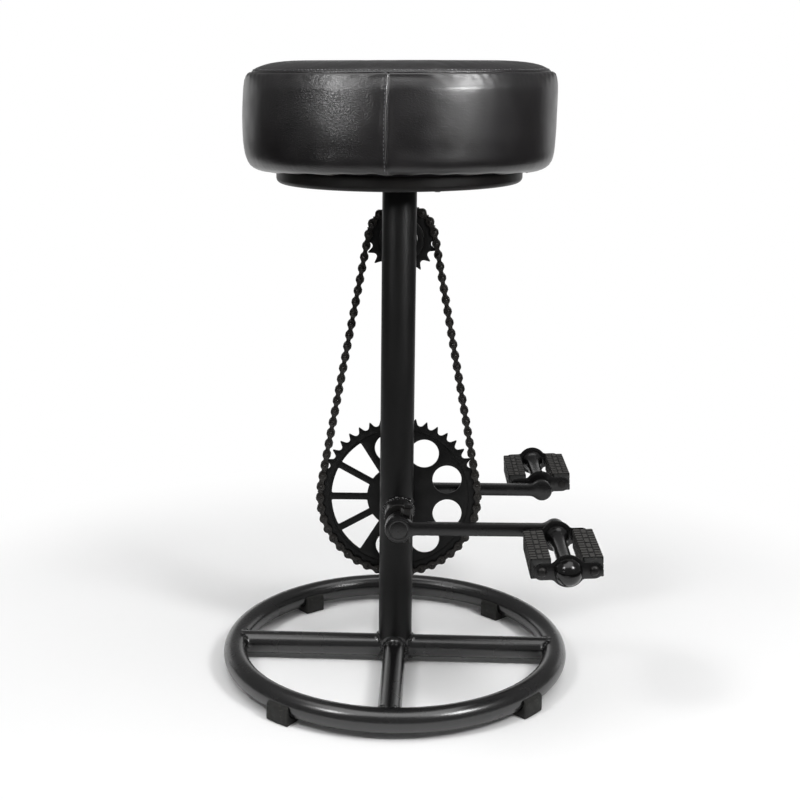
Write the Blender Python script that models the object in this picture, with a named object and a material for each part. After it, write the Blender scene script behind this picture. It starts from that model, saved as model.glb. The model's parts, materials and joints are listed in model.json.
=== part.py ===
"""Bar stool on a bicycle drive: ring base, post, leather seat, chainring, chain, cranks and pedals.

Metres, +Z up. The stool stands on z = 0, the middle of its outline is above the origin, its front
is -Y and both cranks point to +X.
"""

import math

import bmesh
import bpy
from mathutils import Vector

# Fit between pieces that touch
GAP = 0.0003

# Base ring, cross of spokes and feet
RING_RADIUS = 0.1786
RING_TUBE = 0.0254
RING_LIFT = 0.0048
SPOKE_TUBE = 0.025
SPOKE_RISE = 0.0003
CROSS_TURN = math.radians(-1.7)
FOOT_LENGTH = 0.026
FOOT_WALL = 0.0035
FOOT_CHAMFER = 0.002
FOOT_PLACES = {
    "rear_right_foot": math.radians(46),
    "rear_left_foot": math.radians(127),
    "front_left_foot": math.radians(232),
    "front_right_foot": math.radians(318),
}

# Post, flange and flange screws
POST_DIAMETER = 0.037
POST_WALL = 0.002
FLANGE_RADIUS = 0.070
FLANGE_THICKNESS = 0.004
SCREW_CIRCLE = 0.055
SCREW_COUNT = 4
SCREW_DIAMETER = 0.005
SCREW_HEAD = 0.009
SCREW_HEAD_FLAT = 0.006
SCREW_HEAD_HEIGHT = 0.003
SCREW_BITE = 0.011

# Seat
PAN_HEIGHT = 0.5405
PAN_INSET = 0.0345
PAN_THICKNESS = 0.0155
PAN_ROUND = 0.003
BOARD_INSET = 0.032
BOARD_THICKNESS = 0.012
LEATHER = 0.0016
SEAT_RADIUS = 0.165
SEAT_SIDE = 0.0985
SEAT_CROWN = 0.0115
SHOULDER_WIDTH = 0.0085
SHOULDER_HEIGHT = 0.014
TUCK_WIDTH = 0.031
HEM_DROP = 0.0053
TUCK_HEIGHT = 0.026
TUCK_SQUARENESS = 2.35
CROWN_FLATNESS = 6
BAND_SEAM_TURN = math.radians(-94.3)

# Chain drive
DRIVE_OFFSET = 0.0026
BRACKET_HEIGHT = 0.1803
CHAIN_LINE = 0.034
CHAIN_PITCH = 0.0127
SPROCKET_BELOW_SEAT = 0.060
CHAIN_PHASE = 0.86
CHAIN_INNER_WIDTH = 0.0036
CHAIN_PLATES = 0.0023
LINK_HEIGHT = 0.0088
LINK_WAIST = 0.0054
ROLLER_DIAMETER = 0.0078
CHAINRING_TEETH = 44
SPROCKET_TEETH = 18
TOOTH_THICKNESS = 0.0028
TOOTH_RISE = 0.003
TOOTH_FLANK = 0.0016
TOOTH_TIP = 0.0016

# Chainring web: round holes on the right, sector windows on the left
HOLE_DIAMETER = 0.0328
HOLE_CIRCLE = 0.058
HOLE_COUNT = 6
HOLE_FIRST = math.radians(101)
HOLE_STEP = math.radians(-40)
WINDOW_COUNT = 4
WINDOW_INNER = 0.036
WINDOW_OUTER = 0.076
WINDOW_BAR = 0.0075
WINDOW_FROM = math.radians(122)
WINDOW_TO = math.radians(238)

# Sprocket, its freewheel core and stub axle
SPROCKET_RING_RADIUS = 0.0245
SPROCKET_RING_WIDTH = 0.009
FREEWHEEL_RADIUS = 0.017
FREEWHEEL_WIDTH = 0.015
STUB_DIAMETER = 0.012
STUB_COLLAR = 0.022
STUB_END = 0.006
AXLE_WASHER = 0.024
AXLE_WASHER_THICKNESS = 0.0015
AXLE_NUT = 0.017
AXLE_NUT_HEIGHT = 0.006

# Bottom bracket
SHELL_DIAMETER = 0.030
SHELL_WALL = 0.003
SHELL_FRONT = 0.038
SHELL_REAR = 0.0235
CUP_DEPTH = 0.010
CUP_FLANGE = 0.0025
SPINDLE_DIAMETER = 0.016

# Cranks and cotters
CRANK_LENGTH = 0.1647
CRANK_FRONT_FACE = 0.078
CRANK_REAR_FACE = 0.070
CRANK_THICKNESS = 0.012
CRANK_ARM = 0.0125
CRANK_FILLET = 0.010
BOSS_DIAMETER = 0.029
BOSS_WIDTH = 0.018
BOSS_STEP = 0.001
EYE_DIAMETER = 0.023
CHAINRING_BORE = 0.026
CHAINRING_SHOULDER = 0.036
CHAINRING_SHOULDER_WIDTH = 0.008
COTTER_DIAMETER = 0.007
COTTER_OFFSET = 0.009
COTTER_DEPTH = 0.0115
COTTER_TAIL = 0.003
COTTER_THREAD = 0.002
COTTER_NUT = 0.0115
COTTER_NUT_HEIGHT = 0.006

# Pedals
FRONT_PEDAL_TILT = math.radians(-2.7)
REAR_PEDAL_TILT = math.radians(-2.6)
PEDAL_STANDOFF = 0.012
BLOCK_LENGTH = 0.095
BLOCK_WIDTH = 0.0205
BLOCK_HEIGHT = 0.0205
BLOCK_SLOPE = 0.005
BLOCK_SLOPE_DROP = 0.0025
BLOCK_SPACING = 0.0512
BLOCK_GROOVES = 6
GROOVE_DEPTH = 0.0012
GROOVE_WIDTH = 0.003
PLATE_THICKNESS = 0.002
PLATE_HEIGHT = 0.017
PLATE_BULGE = 0.031
BARREL_WAIST = 0.0145
BARREL_BELL = 0.024
BARREL_BELL_LENGTH = 0.014
AXLE_DIAMETER = 0.010
AXLE_THREAD = 0.012
AXLE_COLLAR = 0.015
AXLE_TAIL = 0.005
TIE_DIAMETER = 0.005
TIE_HEAD = 0.009
TIE_HEAD_FLAT = 0.0063
TIE_HEAD_HEIGHT = 0.003
TIE_TAIL = 0.0015
DOME_DIAMETER = 0.0255
DOME_HEIGHT = 0.015
DOME_WALL = 0.003

# Facets
SEAT_SEGMENTS = 32
CROWN_STEPS = 8
BAND_STEPS = 6
RING_SEGMENTS = 64
RING_SIDES = 10
POST_SIDES = 32
SPOKE_SIDES = 16
SHAFT_SIDES = 20
SMALL_SIDES = 10
NUT_SIDES = 6
FOOT_STEPS = 2
ROUND_STEPS = 4
FILLET_STEPS = 3
BOSS_ARC_STEPS = 14
EYE_ARC_STEPS = 12
PLATE_END_STEPS = 6
PLATE_BULGE_STEPS = 8
WINDOW_STEPS = 4
FLARE_STEPS = 4
DOME_STEPS = 5
SMOOTH_ANGLE = math.radians(35)

# Places that follow from the sizes above
RING_HEIGHT = RING_LIFT + RING_TUBE / 2
SPOKE_HEIGHT = RING_HEIGHT + SPOKE_RISE
FLANGE_TOP = PAN_HEIGHT - GAP
POST_TOP = FLANGE_TOP - FLANGE_THICKNESS - GAP
POST_BOTTOM = SPOKE_HEIGHT - SPOKE_TUBE / 2
BOARD_BOTTOM = PAN_HEIGHT + PAN_THICKNESS + GAP
PAN_RADIUS = SEAT_RADIUS - PAN_INSET
BOARD_RADIUS = SEAT_RADIUS - BOARD_INSET
SEAM_RADIUS = SEAT_RADIUS - SHOULDER_WIDTH
HEM_RADIUS = SEAT_RADIUS - TUCK_WIDTH
SEAM_HEIGHT = BOARD_BOTTOM + SEAT_SIDE
PEDAL_HALF_WIDTH = (BLOCK_SPACING + BLOCK_WIDTH) / 2
FREEWHEEL_FRONT = CHAIN_LINE - FREEWHEEL_WIDTH / 2
FREEWHEEL_BACK = CHAIN_LINE + FREEWHEEL_WIDTH / 2


def pitch_radius(teeth):
    """Radius of the circle through the roller centres of a toothed wheel."""
    return CHAIN_PITCH / 2 / math.sin(math.pi / teeth)


def strand_lean(distance):
    """Angle by which the straight strands lean in when the two axes are this far apart."""
    return math.asin((pitch_radius(CHAINRING_TEETH) - pitch_radius(SPROCKET_TEETH)) / distance)


def chain_stretches(distance):
    """Links on one strand, round the sprocket and round the chainring."""
    lean = strand_lean(distance)
    strand = distance * math.cos(lean) / CHAIN_PITCH
    over_sprocket = SPROCKET_TEETH * (math.pi - 2 * lean) / math.tau
    under_chainring = CHAINRING_TEETH * (math.pi + 2 * lean) / math.tau
    return strand, over_sprocket, under_chainring


def chain_links():
    """Longest chain, in pairs of links, that leaves the sprocket far enough below the seat."""
    room = PAN_HEIGHT - SPROCKET_BELOW_SEAT - BRACKET_HEIGHT
    strand, over_sprocket, under_chainring = chain_stretches(room)
    return 2 * math.floor(strand + (over_sprocket + under_chainring) / 2)


CHAIN_LINKS = chain_links()


def axis_distance():
    """Distance between chainring and sprocket axes at which the chain closes on whole links."""
    near = pitch_radius(CHAINRING_TEETH)
    far = CHAIN_LINKS * CHAIN_PITCH
    while far - near > 1e-9:
        middle = (near + far) / 2
        strand, over_sprocket, under_chainring = chain_stretches(middle)
        if 2 * strand + over_sprocket + under_chainring < CHAIN_LINKS:
            near = middle
        else:
            far = middle
    return near


AXIS_DISTANCE = axis_distance()
STRAND_LEAN = strand_lean(AXIS_DISTANCE)
STRAND_LINKS, SPROCKET_LINKS = chain_stretches(AXIS_DISTANCE)[:2]


def clear_scene():
    for old in list(bpy.data.objects):
        bpy.data.objects.remove(old, do_unlink=True)


def make_material(name, colour, roughness, metallic=0.0):
    material = bpy.data.materials.new(name)
    material.use_nodes = True
    shader = material.node_tree.nodes["Principled BSDF"]
    shader.inputs["Base Color"].default_value = (*colour, 1.0)
    shader.inputs["Roughness"].default_value = roughness
    shader.inputs["Metallic"].default_value = metallic
    return material


def make_empty(name, parent, location, turn=0.0):
    """Axis marker; turn is a rotation about Y."""
    empty = bpy.data.objects.new(name, None)
    bpy.context.scene.collection.objects.link(empty)
    empty.parent = parent
    empty.location = location
    empty.rotation_euler = (0.0, turn, 0.0)
    return empty


def make_piece(name, bm, material, parent, location=(0, 0, 0)):
    """Turn a closed bmesh into a named object with its own material."""
    bmesh.ops.recalc_face_normals(bm, faces=bm.faces)
    mesh = bpy.data.meshes.new(name)
    bm.to_mesh(mesh)
    bm.free()
    mesh.shade_smooth()
    mesh.set_sharp_from_angle(angle=SMOOTH_ANGLE)
    mesh.materials.append(material)
    piece = bpy.data.objects.new(name, mesh)
    bpy.context.scene.collection.objects.link(piece)
    piece.parent = parent
    piece.location = location
    return piece


def shape_with(piece, tool, operation):
    """Cut a piece with a tool shape, or join the tool shape to it."""
    tool.hide_render = True
    tool.display_type = "WIRE"
    step = piece.modifiers.new(tool.name, "BOOLEAN")
    step.operation = operation
    step.solver = "EXACT"
    step.object = tool


def about_z(radius, height, angle):
    return (radius * math.cos(angle), radius * math.sin(angle), height)


def about_y(radius, depth, angle):
    return (radius * math.cos(angle), depth, radius * math.sin(angle))


def turned(profile, sides, place=about_y, start=0.0, sweep=math.tau):
    """Solid turned from a closed (radius, height) profile, all round or through part of a turn."""
    bm = bmesh.new()
    whole = sweep == math.tau
    rings = sides if whole else sides + 1
    columns = []
    for radius, height in profile:
        if radius == 0:
            columns.append([bm.verts.new(place(0.0, height, 0.0))] * rings)
            continue
        angles = [start + sweep * i / sides for i in range(rings)]
        columns.append([bm.verts.new(place(radius, height, angle)) for angle in angles])
    for here, there in zip(columns, columns[1:] + columns[:1]):
        for i in range(sides):
            after = (i + 1) % rings
            corners = dict.fromkeys((here[i], here[after], there[after], there[i]))
            if len(corners) > 2:
                bm.faces.new(corners)
    if not whole:
        bm.faces.new([column[0] for column in columns])
        bm.faces.new([column[-1] for column in columns])
    return bm


def extruded(loops, near, far, place):
    """Solid between two flat faces; the first loop is the outline and the others are holes."""
    flat = bmesh.new()
    edges = []
    for loop in loops:
        ring = [flat.verts.new((u, v, 0.0)) for u, v in loop]
        edges += [flat.edges.new(pair) for pair in zip(ring, ring[1:] + ring[:1])]
    flat.verts.index_update()
    bmesh.ops.triangle_fill(flat, edges=edges, use_beauty=True, normal=(0, 0, 1))
    triangles = [[vert.index for vert in face.verts] for face in flat.faces]
    flat.free()
    bm = bmesh.new()
    points = [point for loop in loops for point in loop]
    front = [bm.verts.new(place(u, v, near)) for u, v in points]
    back = [bm.verts.new(place(u, v, far)) for u, v in points]
    for side in (front, back):
        for triangle in triangles:
            bm.faces.new([side[i] for i in triangle])
    first = 0
    for loop in loops:
        ids = range(first, first + len(loop))
        for i, j in zip(ids, [*ids[1:], first]):
            bm.faces.new((front[i], front[j], back[j], back[i]))
        first += len(loop)
    return bm


def flat_xz(u, v, depth):
    return (u, depth, v)


def flat_xy(u, v, height):
    return (u, v, height)


def flat_yz(u, v, across):
    return (across, u, v)


def arc(centre, radius, start, stop, steps):
    """Points on a circle, both ends included."""
    angles = [start + (stop - start) * i / steps for i in range(steps + 1)]
    return [(centre[0] + radius * math.cos(a), centre[1] + radius * math.sin(a)) for a in angles]


def circle(centre, radius, sides):
    return arc(centre, radius, 0.0, math.tau, sides)[:-1]


def rod(radius, low, high):
    """Closed profile of a plain round bar."""
    return [(0.0, high), (radius, high), (radius, low), (0.0, low)]


def tube(inner, outer, low, high):
    """Closed profile of a plain round tube."""
    return [(inner, high), (outer, high), (outer, low), (inner, low)]


def ring_profile(radius):
    return arc((RING_RADIUS, RING_HEIGHT), radius, 0.0, math.tau, RING_SIDES)[:-1]


def post_cutter(name, stand):
    """Post outline with its gap, for ends that are shaped to the post."""
    reach = RING_RADIUS
    profile = rod(POST_DIAMETER / 2 + GAP, POST_BOTTOM - reach, POST_TOP + reach)
    return make_piece(name, turned(profile, POST_SIDES, about_z), None, stand)


def build_base(stand, steel, rubber):
    make_piece("base_ring", turned(ring_profile(RING_TUBE / 2), RING_SEGMENTS, about_z), steel, stand)
    cutter_bm = turned(ring_profile(RING_TUBE / 2 + GAP), RING_SEGMENTS, about_z)
    ring_tool = make_piece("ring_cutter", cutter_bm, None, stand)
    post_tool = post_cutter("spoke_post_cutter", stand)
    for turn, name in enumerate(("right_spoke", "back_spoke", "left_spoke", "front_spoke")):
        start = POST_DIAMETER / 4
        bar = turned(rod(SPOKE_TUBE / 2, start, RING_RADIUS), SPOKE_SIDES, about_y)
        spoke = make_piece(name, bar, steel, stand, (0, 0, SPOKE_HEIGHT))
        spoke.rotation_euler = (0, 0, CROSS_TURN + (turn - 1) * math.pi / 2)
        shape_with(spoke, post_tool, "DIFFERENCE")
        shape_with(spoke, ring_tool, "DIFFERENCE")
    for name, angle in FOOT_PLACES.items():
        sweep = FOOT_LENGTH / RING_RADIUS
        foot = turned(foot_profile(), FOOT_STEPS, about_z, angle - sweep / 2, sweep)
        make_piece(name, foot, rubber, stand)


def foot_profile():
    """Saddle under the ring tube: flat below, round above, open at the tube's middle height."""
    half = RING_TUBE / 2 + GAP + FOOT_WALL
    inside = arc((RING_RADIUS, RING_HEIGHT), RING_TUBE / 2 + GAP, 0.0, -math.pi, RING_SIDES // 2)
    outside = [
        (RING_RADIUS - half, RING_HEIGHT),
        (RING_RADIUS - half, FOOT_CHAMFER),
        (RING_RADIUS - half + FOOT_CHAMFER, 0.0),
        (RING_RADIUS + half - FOOT_CHAMFER, 0.0),
        (RING_RADIUS + half, FOOT_CHAMFER),
        (RING_RADIUS + half, RING_HEIGHT),
    ]
    return inside + outside


def build_post(stand, steel, fastener):
    profile = tube(POST_DIAMETER / 2 - POST_WALL, POST_DIAMETER / 2, POST_BOTTOM, POST_TOP)
    post = make_piece("post_tube", turned(profile, POST_SIDES, about_z), steel, stand)
    through = rod(SHELL_DIAMETER / 2 + GAP, -POST_DIAMETER, POST_DIAMETER)
    place = (DRIVE_OFFSET, 0, BRACKET_HEIGHT)
    hole = make_piece("shell_hole", turned(through, SHAFT_SIDES), None, stand, place)
    shape_with(post, hole, "DIFFERENCE")
    centres = [about_z(SCREW_CIRCLE, 0, math.tau * (i + 0.5) / SCREW_COUNT) for i in range(SCREW_COUNT)]
    holes = [circle((x, y), SCREW_DIAMETER / 2 + GAP, SMALL_SIDES) for x, y, _ in centres]
    disc = [circle((0, 0), FLANGE_RADIUS, POST_SIDES)] + holes
    flange = extruded(disc, FLANGE_TOP - FLANGE_THICKNESS, FLANGE_TOP, flat_xy)
    make_piece("top_flange", flange, steel, stand)
    seat = FLANGE_TOP - FLANGE_THICKNESS - GAP
    tip = PAN_HEIGHT + SCREW_BITE
    shank = SCREW_DIAMETER / 2
    head_low = seat - SCREW_HEAD_HEIGHT
    outline = [(0, tip), (shank, tip), (shank, seat), (SCREW_HEAD / 2, seat)]
    outline += [(SCREW_HEAD / 2, (seat + head_low) / 2), (SCREW_HEAD_FLAT / 2, head_low), (0, head_low)]
    for number, centre in enumerate(centres, 1):
        screw = turned(outline, SMALL_SIDES, about_z)
        make_piece(f"flange_screw_{number}", screw, fastener, stand, centre)
    return centres


def crown_height(radius):
    """Height of the seat's top above its seam."""
    return SEAT_CROWN * math.sqrt(max(0.0, 1 - (radius / SEAM_RADIUS) ** CROWN_FLATNESS))


def crown_profile(drop):
    """Top of the seat from its middle to its seam, lowered by drop."""
    reach = [SEAM_RADIUS * math.sin(math.pi / 2 * i / CROWN_STEPS) for i in range(CROWN_STEPS + 1)]
    return [(radius, SEAM_HEIGHT + crown_height(radius) - drop) for radius in reach]


def band_profile():
    """Outside of the side band from the seam down over the shoulder, side and tuck to the hem."""
    top = SEAM_HEIGHT - LEATHER - GAP
    hem = BOARD_BOTTOM - HEM_DROP
    points = []
    for i in range(BAND_STEPS + 1):
        angle = math.pi / 2 * i / BAND_STEPS
        radius = SEAM_RADIUS + (SEAT_RADIUS - SEAM_RADIUS) * math.sin(angle)
        points.append((radius, top - SHOULDER_HEIGHT * (1 - math.cos(angle))))
    power = 2 / TUCK_SQUARENESS
    for i in range(BAND_STEPS + 1):
        angle = math.pi / 2 * i / BAND_STEPS
        radius = HEM_RADIUS + (SEAT_RADIUS - HEM_RADIUS) * max(0.0, math.cos(angle)) ** power
        points.append((radius, hem + TUCK_HEIGHT * (1 - math.sin(angle) ** power)))
    return points


def inset(points, distance):
    """Points moved inwards, square to the open line that runs through them from top to bottom."""
    moved = []
    for i, point in enumerate(points):
        before = Vector(points[max(0, i - 1)])
        after = Vector(points[min(len(points) - 1, i + 1)])
        along = (after - before).normalized()
        moved.append((point[0] + along.y * distance, point[1] - along.x * distance))
    return moved


def build_seat(stand, screw_centres, black_wood, wood, foam, leather):
    corner = (PAN_RADIUS - PAN_ROUND, PAN_HEIGHT + PAN_ROUND)
    rounding = arc(corner, PAN_ROUND, 0.0, -math.pi / 2, ROUND_STEPS)
    top = PAN_HEIGHT + PAN_THICKNESS
    disc = [(0, top), (PAN_RADIUS, top)] + rounding + [(0, PAN_HEIGHT)]
    pan = make_piece("seat_pan", turned(disc, SEAT_SEGMENTS, about_z), black_wood, stand)
    pilot = rod(SCREW_DIAMETER / 2 + GAP, PAN_HEIGHT - PAN_THICKNESS, PAN_HEIGHT + SCREW_BITE + GAP)
    for number, centre in enumerate(screw_centres, 1):
        drill = make_piece(f"pilot_hole_{number}", turned(pilot, SMALL_SIDES, about_z), None, stand, centre)
        shape_with(pan, drill, "DIFFERENCE")
    board = rod(BOARD_RADIUS, BOARD_BOTTOM, BOARD_BOTTOM + BOARD_THICKNESS)
    make_piece("seat_board", turned(board, SEAT_SEGMENTS, about_z, BAND_SEAM_TURN), wood, stand)
    skin = LEATHER + GAP
    side = inset(band_profile(), skin)
    above_board = BOARD_BOTTOM + BOARD_THICKNESS + GAP
    beside_board = BOARD_RADIUS + GAP
    body = crown_profile(skin)[:-1:2] + [p for p in side[::2] if p[0] > beside_board + LEATHER]
    body += [(beside_board, body[-1][1]), (beside_board, above_board), (0, above_board)]
    make_piece("seat_foam", turned(body, SEAT_SEGMENTS, about_z, BAND_SEAM_TURN), foam, stand)
    panel = crown_profile(0.0) + crown_profile(LEATHER)[::-1]
    make_piece("seat_top_panel", turned(panel, SEAT_SEGMENTS, about_z, BAND_SEAM_TURN), leather, stand)
    outside = band_profile()
    band = outside + inset(outside, LEATHER)[::-1]
    opening = GAP / SEAT_RADIUS
    for name, start in (("right_band", 0.0), ("left_band", math.pi)):
        first = BAND_SEAM_TURN + start + opening / 2
        half = turned(band, SEAT_SEGMENTS // 2, about_z, first, math.pi - opening)
        make_piece(f"seat_{name}", half, leather, stand)


def chain_at(link):
    """Place on the chain's pitch line and its outward direction, from the chainring axis."""
    link %= CHAIN_LINKS
    across = Vector((math.cos(STRAND_LEAN), math.sin(STRAND_LEAN)))
    along = Vector((-across.y, across.x))
    top = Vector((0, AXIS_DISTANCE))
    if link < STRAND_LINKS:
        return across * pitch_radius(CHAINRING_TEETH) + along * link * CHAIN_PITCH, across
    link -= STRAND_LINKS
    if link < SPROCKET_LINKS:
        angle = STRAND_LEAN + link * math.tau / SPROCKET_TEETH
        out = Vector((math.cos(angle), math.sin(angle)))
        return top + out * pitch_radius(SPROCKET_TEETH), out
    link -= SPROCKET_LINKS
    if link < STRAND_LINKS:
        out = Vector((-across.x, across.y))
        down = Vector((-out.y, out.x))
        return top + out * pitch_radius(SPROCKET_TEETH) + down * link * CHAIN_PITCH, out
    angle = math.pi - STRAND_LEAN + (link - STRAND_LINKS) * math.tau / CHAINRING_TEETH
    out = Vector((math.cos(angle), math.sin(angle)))
    return out * pitch_radius(CHAINRING_TEETH), out


def clear_of_teeth(point):
    """Whether a chain link at this place stays clear of both turning wheels."""
    reach = LINK_HEIGHT / 2 + TOOTH_RISE + 2 * GAP
    below = point.length > pitch_radius(CHAINRING_TEETH) + reach
    above = (point - Vector((0, AXIS_DISTANCE))).length > pitch_radius(SPROCKET_TEETH) + reach
    return below and above


def build_chain(stand, steel):
    """Two rows of waisted plates; every other link of the straight strands is closed by its rollers."""
    inner = CHAIN_INNER_WIDTH / 2
    outer = inner + CHAIN_PLATES
    depths = [CHAIN_LINE + d for d in (-outer, -inner, inner, outer)]
    bm = bmesh.new()
    rings = []
    closed = []
    for step in range(2 * CHAIN_LINKS):
        point, out = chain_at(CHAIN_PHASE + step / 2)
        half = (LINK_WAIST if step % 2 else LINK_HEIGHT) / 2
        ends = (point - out * half, point + out * half)
        rings.append([[bm.verts.new((end.x, depth, end.y)) for depth in depths] for end in ends])
        link = step // 2
        pins = [chain_at(CHAIN_PHASE + link + end)[0] for end in (0, 1)]
        closed.append(link % 2 == 0 and all(clear_of_teeth(pin) for pin in pins))
    for step, (low, high) in enumerate(rings):
        following = (step + 1) % len(rings)
        next_low, next_high = rings[following]
        spans = [(0, 1), (1, 2), (2, 3)] if closed[step] else [(0, 1), (2, 3)]
        for a, b in spans:
            bm.faces.new((low[a], low[b], next_low[b], next_low[a]))
            bm.faces.new((high[b], high[a], next_high[a], next_high[b]))
        for a in (0, 3) if closed[step] else (0, 1, 2, 3):
            bm.faces.new((low[a], high[a], next_high[a], next_low[a]))
        if closed[step] != closed[following]:
            bm.faces.new((next_low[1], next_low[2], next_high[2], next_high[1]))
    make_piece("chain", bm, steel, stand, (DRIVE_OFFSET, 0, BRACKET_HEIGHT))


def toothed_outline(teeth, first_gap):
    """Outline with a roller seat at first_gap and one pitch on from each seat to the next."""
    radius = pitch_radius(teeth)
    seat = ROLLER_DIAMETER / 2
    flank = math.sqrt(seat ** 2 - TOOTH_FLANK ** 2) / CHAIN_PITCH
    tip = 0.5 - TOOTH_TIP / 2 / CHAIN_PITCH
    shape = [(0.0, -seat), (flank, -TOOTH_FLANK), (tip, TOOTH_RISE)]
    shape += [(1 - tip, TOOTH_RISE), (1 - flank, -TOOTH_FLANK)]
    points = []
    for tooth in range(teeth):
        for share, rise in shape:
            angle = first_gap + (tooth + share) * math.tau / teeth
            points.append(((radius + rise) * math.cos(angle), (radius + rise) * math.sin(angle)))
    return points


def seat_angle(teeth, arc_start, first_link):
    """Direction of a roller seat that holds one of the chain's pins."""
    return arc_start + (CHAIN_PHASE - first_link) * math.tau / teeth


def sector_window(start, stop):
    """Opening between two radial bars of even width."""
    corners = []
    for radius, ends in ((WINDOW_INNER, (start, stop)), (WINDOW_OUTER, (stop, start))):
        bar = WINDOW_BAR / 2 / radius
        first = ends[0] + math.copysign(bar, ends[1] - ends[0])
        last = ends[1] - math.copysign(bar, ends[1] - ends[0])
        corners += arc((0, 0), radius, first, last, WINDOW_STEPS)
    return corners


def build_wheels(stand, crank_axis, sprocket_axis, steel, fastener):
    near = CHAIN_LINE - TOOTH_THICKNESS / 2
    far = CHAIN_LINE + TOOTH_THICKNESS / 2
    under = seat_angle(CHAINRING_TEETH, math.pi - STRAND_LEAN, 2 * STRAND_LINKS + SPROCKET_LINKS)
    loops = [toothed_outline(CHAINRING_TEETH, under), circle((0, 0), CHAINRING_BORE / 2 + GAP, SHAFT_SIDES)]
    for number in range(HOLE_COUNT):
        angle = HOLE_FIRST + number * HOLE_STEP
        centre = (HOLE_CIRCLE * math.cos(angle), HOLE_CIRCLE * math.sin(angle))
        loops.append(circle(centre, HOLE_DIAMETER / 2, POST_SIDES // 2))
    width = (WINDOW_TO - WINDOW_FROM) / WINDOW_COUNT
    for number in range(WINDOW_COUNT):
        start = WINDOW_FROM + number * width
        loops.append(sector_window(start, start + width))
    make_piece("chainring", extruded(loops, near, far, flat_xz), steel, crank_axis)

    over = seat_angle(SPROCKET_TEETH, STRAND_LEAN, STRAND_LINKS)
    bore = circle((0, 0), FREEWHEEL_RADIUS + GAP, SHAFT_SIDES)
    teeth = extruded([toothed_outline(SPROCKET_TEETH, over), bore], near, far, flat_xz)
    sprocket = make_piece("sprocket", teeth, steel, sprocket_axis)
    half_width = SPROCKET_RING_WIDTH / 2
    bore_edge = FREEWHEEL_RADIUS + 2 * GAP
    raised = tube(bore_edge, SPROCKET_RING_RADIUS, CHAIN_LINE - half_width, CHAIN_LINE + half_width)
    ring = make_piece("sprocket_raised_ring", turned(raised, SHAFT_SIDES), steel, sprocket_axis)
    shape_with(sprocket, ring, "UNION")

    height = BRACKET_HEIGHT + AXIS_DISTANCE
    place = (DRIVE_OFFSET, 0, height)
    core = tube(STUB_DIAMETER / 2 + GAP, FREEWHEEL_RADIUS, FREEWHEEL_FRONT, FREEWHEEL_BACK)
    make_piece("freewheel_core", turned(core, SHAFT_SIDES), fastener, stand, place)
    washer_near = FREEWHEEL_BACK + GAP
    nut_near = washer_near + AXLE_WASHER_THICKNESS + GAP
    stub_end = nut_near + AXLE_NUT_HEIGHT + STUB_END
    collar = FREEWHEEL_FRONT - GAP
    stem = STUB_DIAMETER / 2
    bar = [(0, stub_end), (stem, stub_end), (stem, collar), (STUB_COLLAR / 2, collar)]
    bar += [(STUB_COLLAR / 2, 0), (0, 0)]
    stub = make_piece("stub_axle", turned(bar, SHAFT_SIDES), steel, stand, place)
    shape_with(stub, post_cutter("stub_post_cutter", stand), "DIFFERENCE")
    washer = tube(stem + GAP, AXLE_WASHER / 2, washer_near, washer_near + AXLE_WASHER_THICKNESS)
    make_piece("axle_washer", turned(washer, SHAFT_SIDES), fastener, stand, place)
    hexagon = circle((0, 0), AXLE_NUT / math.sqrt(3), NUT_SIDES)
    hole = circle((0, 0), stem + GAP, SHAFT_SIDES)
    nut = extruded([hexagon, hole], nut_near, nut_near + AXLE_NUT_HEIGHT, flat_xz)
    make_piece("axle_nut", nut, fastener, stand, place)


def build_bracket(stand, crank_axis, steel, fastener):
    place = (DRIVE_OFFSET, 0, BRACKET_HEIGHT)
    shell = tube(SHELL_DIAMETER / 2 - SHELL_WALL, SHELL_DIAMETER / 2, -SHELL_FRONT, SHELL_REAR)
    make_piece("bracket_shell", turned(shell, SHAFT_SIDES), steel, stand, place)
    bore = SPINDLE_DIAMETER / 2 + GAP
    body = SHELL_DIAMETER / 2 - SHELL_WALL - GAP
    rim = SHELL_DIAMETER / 2
    for name, face, way in (("front_cup", -SHELL_FRONT, -1), ("rear_cup", SHELL_REAR, 1)):
        outer = face + way * (CUP_FLANGE + GAP)
        shoulder = face + way * GAP
        end = face - way * CUP_DEPTH
        cup = [(bore, outer), (rim, outer), (rim, shoulder), (body, shoulder), (body, end), (bore, end)]
        make_piece(name, turned(cup, SHAFT_SIDES), fastener, stand, place)
    profile = rod(SPINDLE_DIAMETER / 2, -CRANK_FRONT_FACE, CRANK_REAR_FACE)
    spindle = make_piece("spindle", turned(profile, SHAFT_SIDES), fastener, crank_axis)
    return spindle


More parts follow.
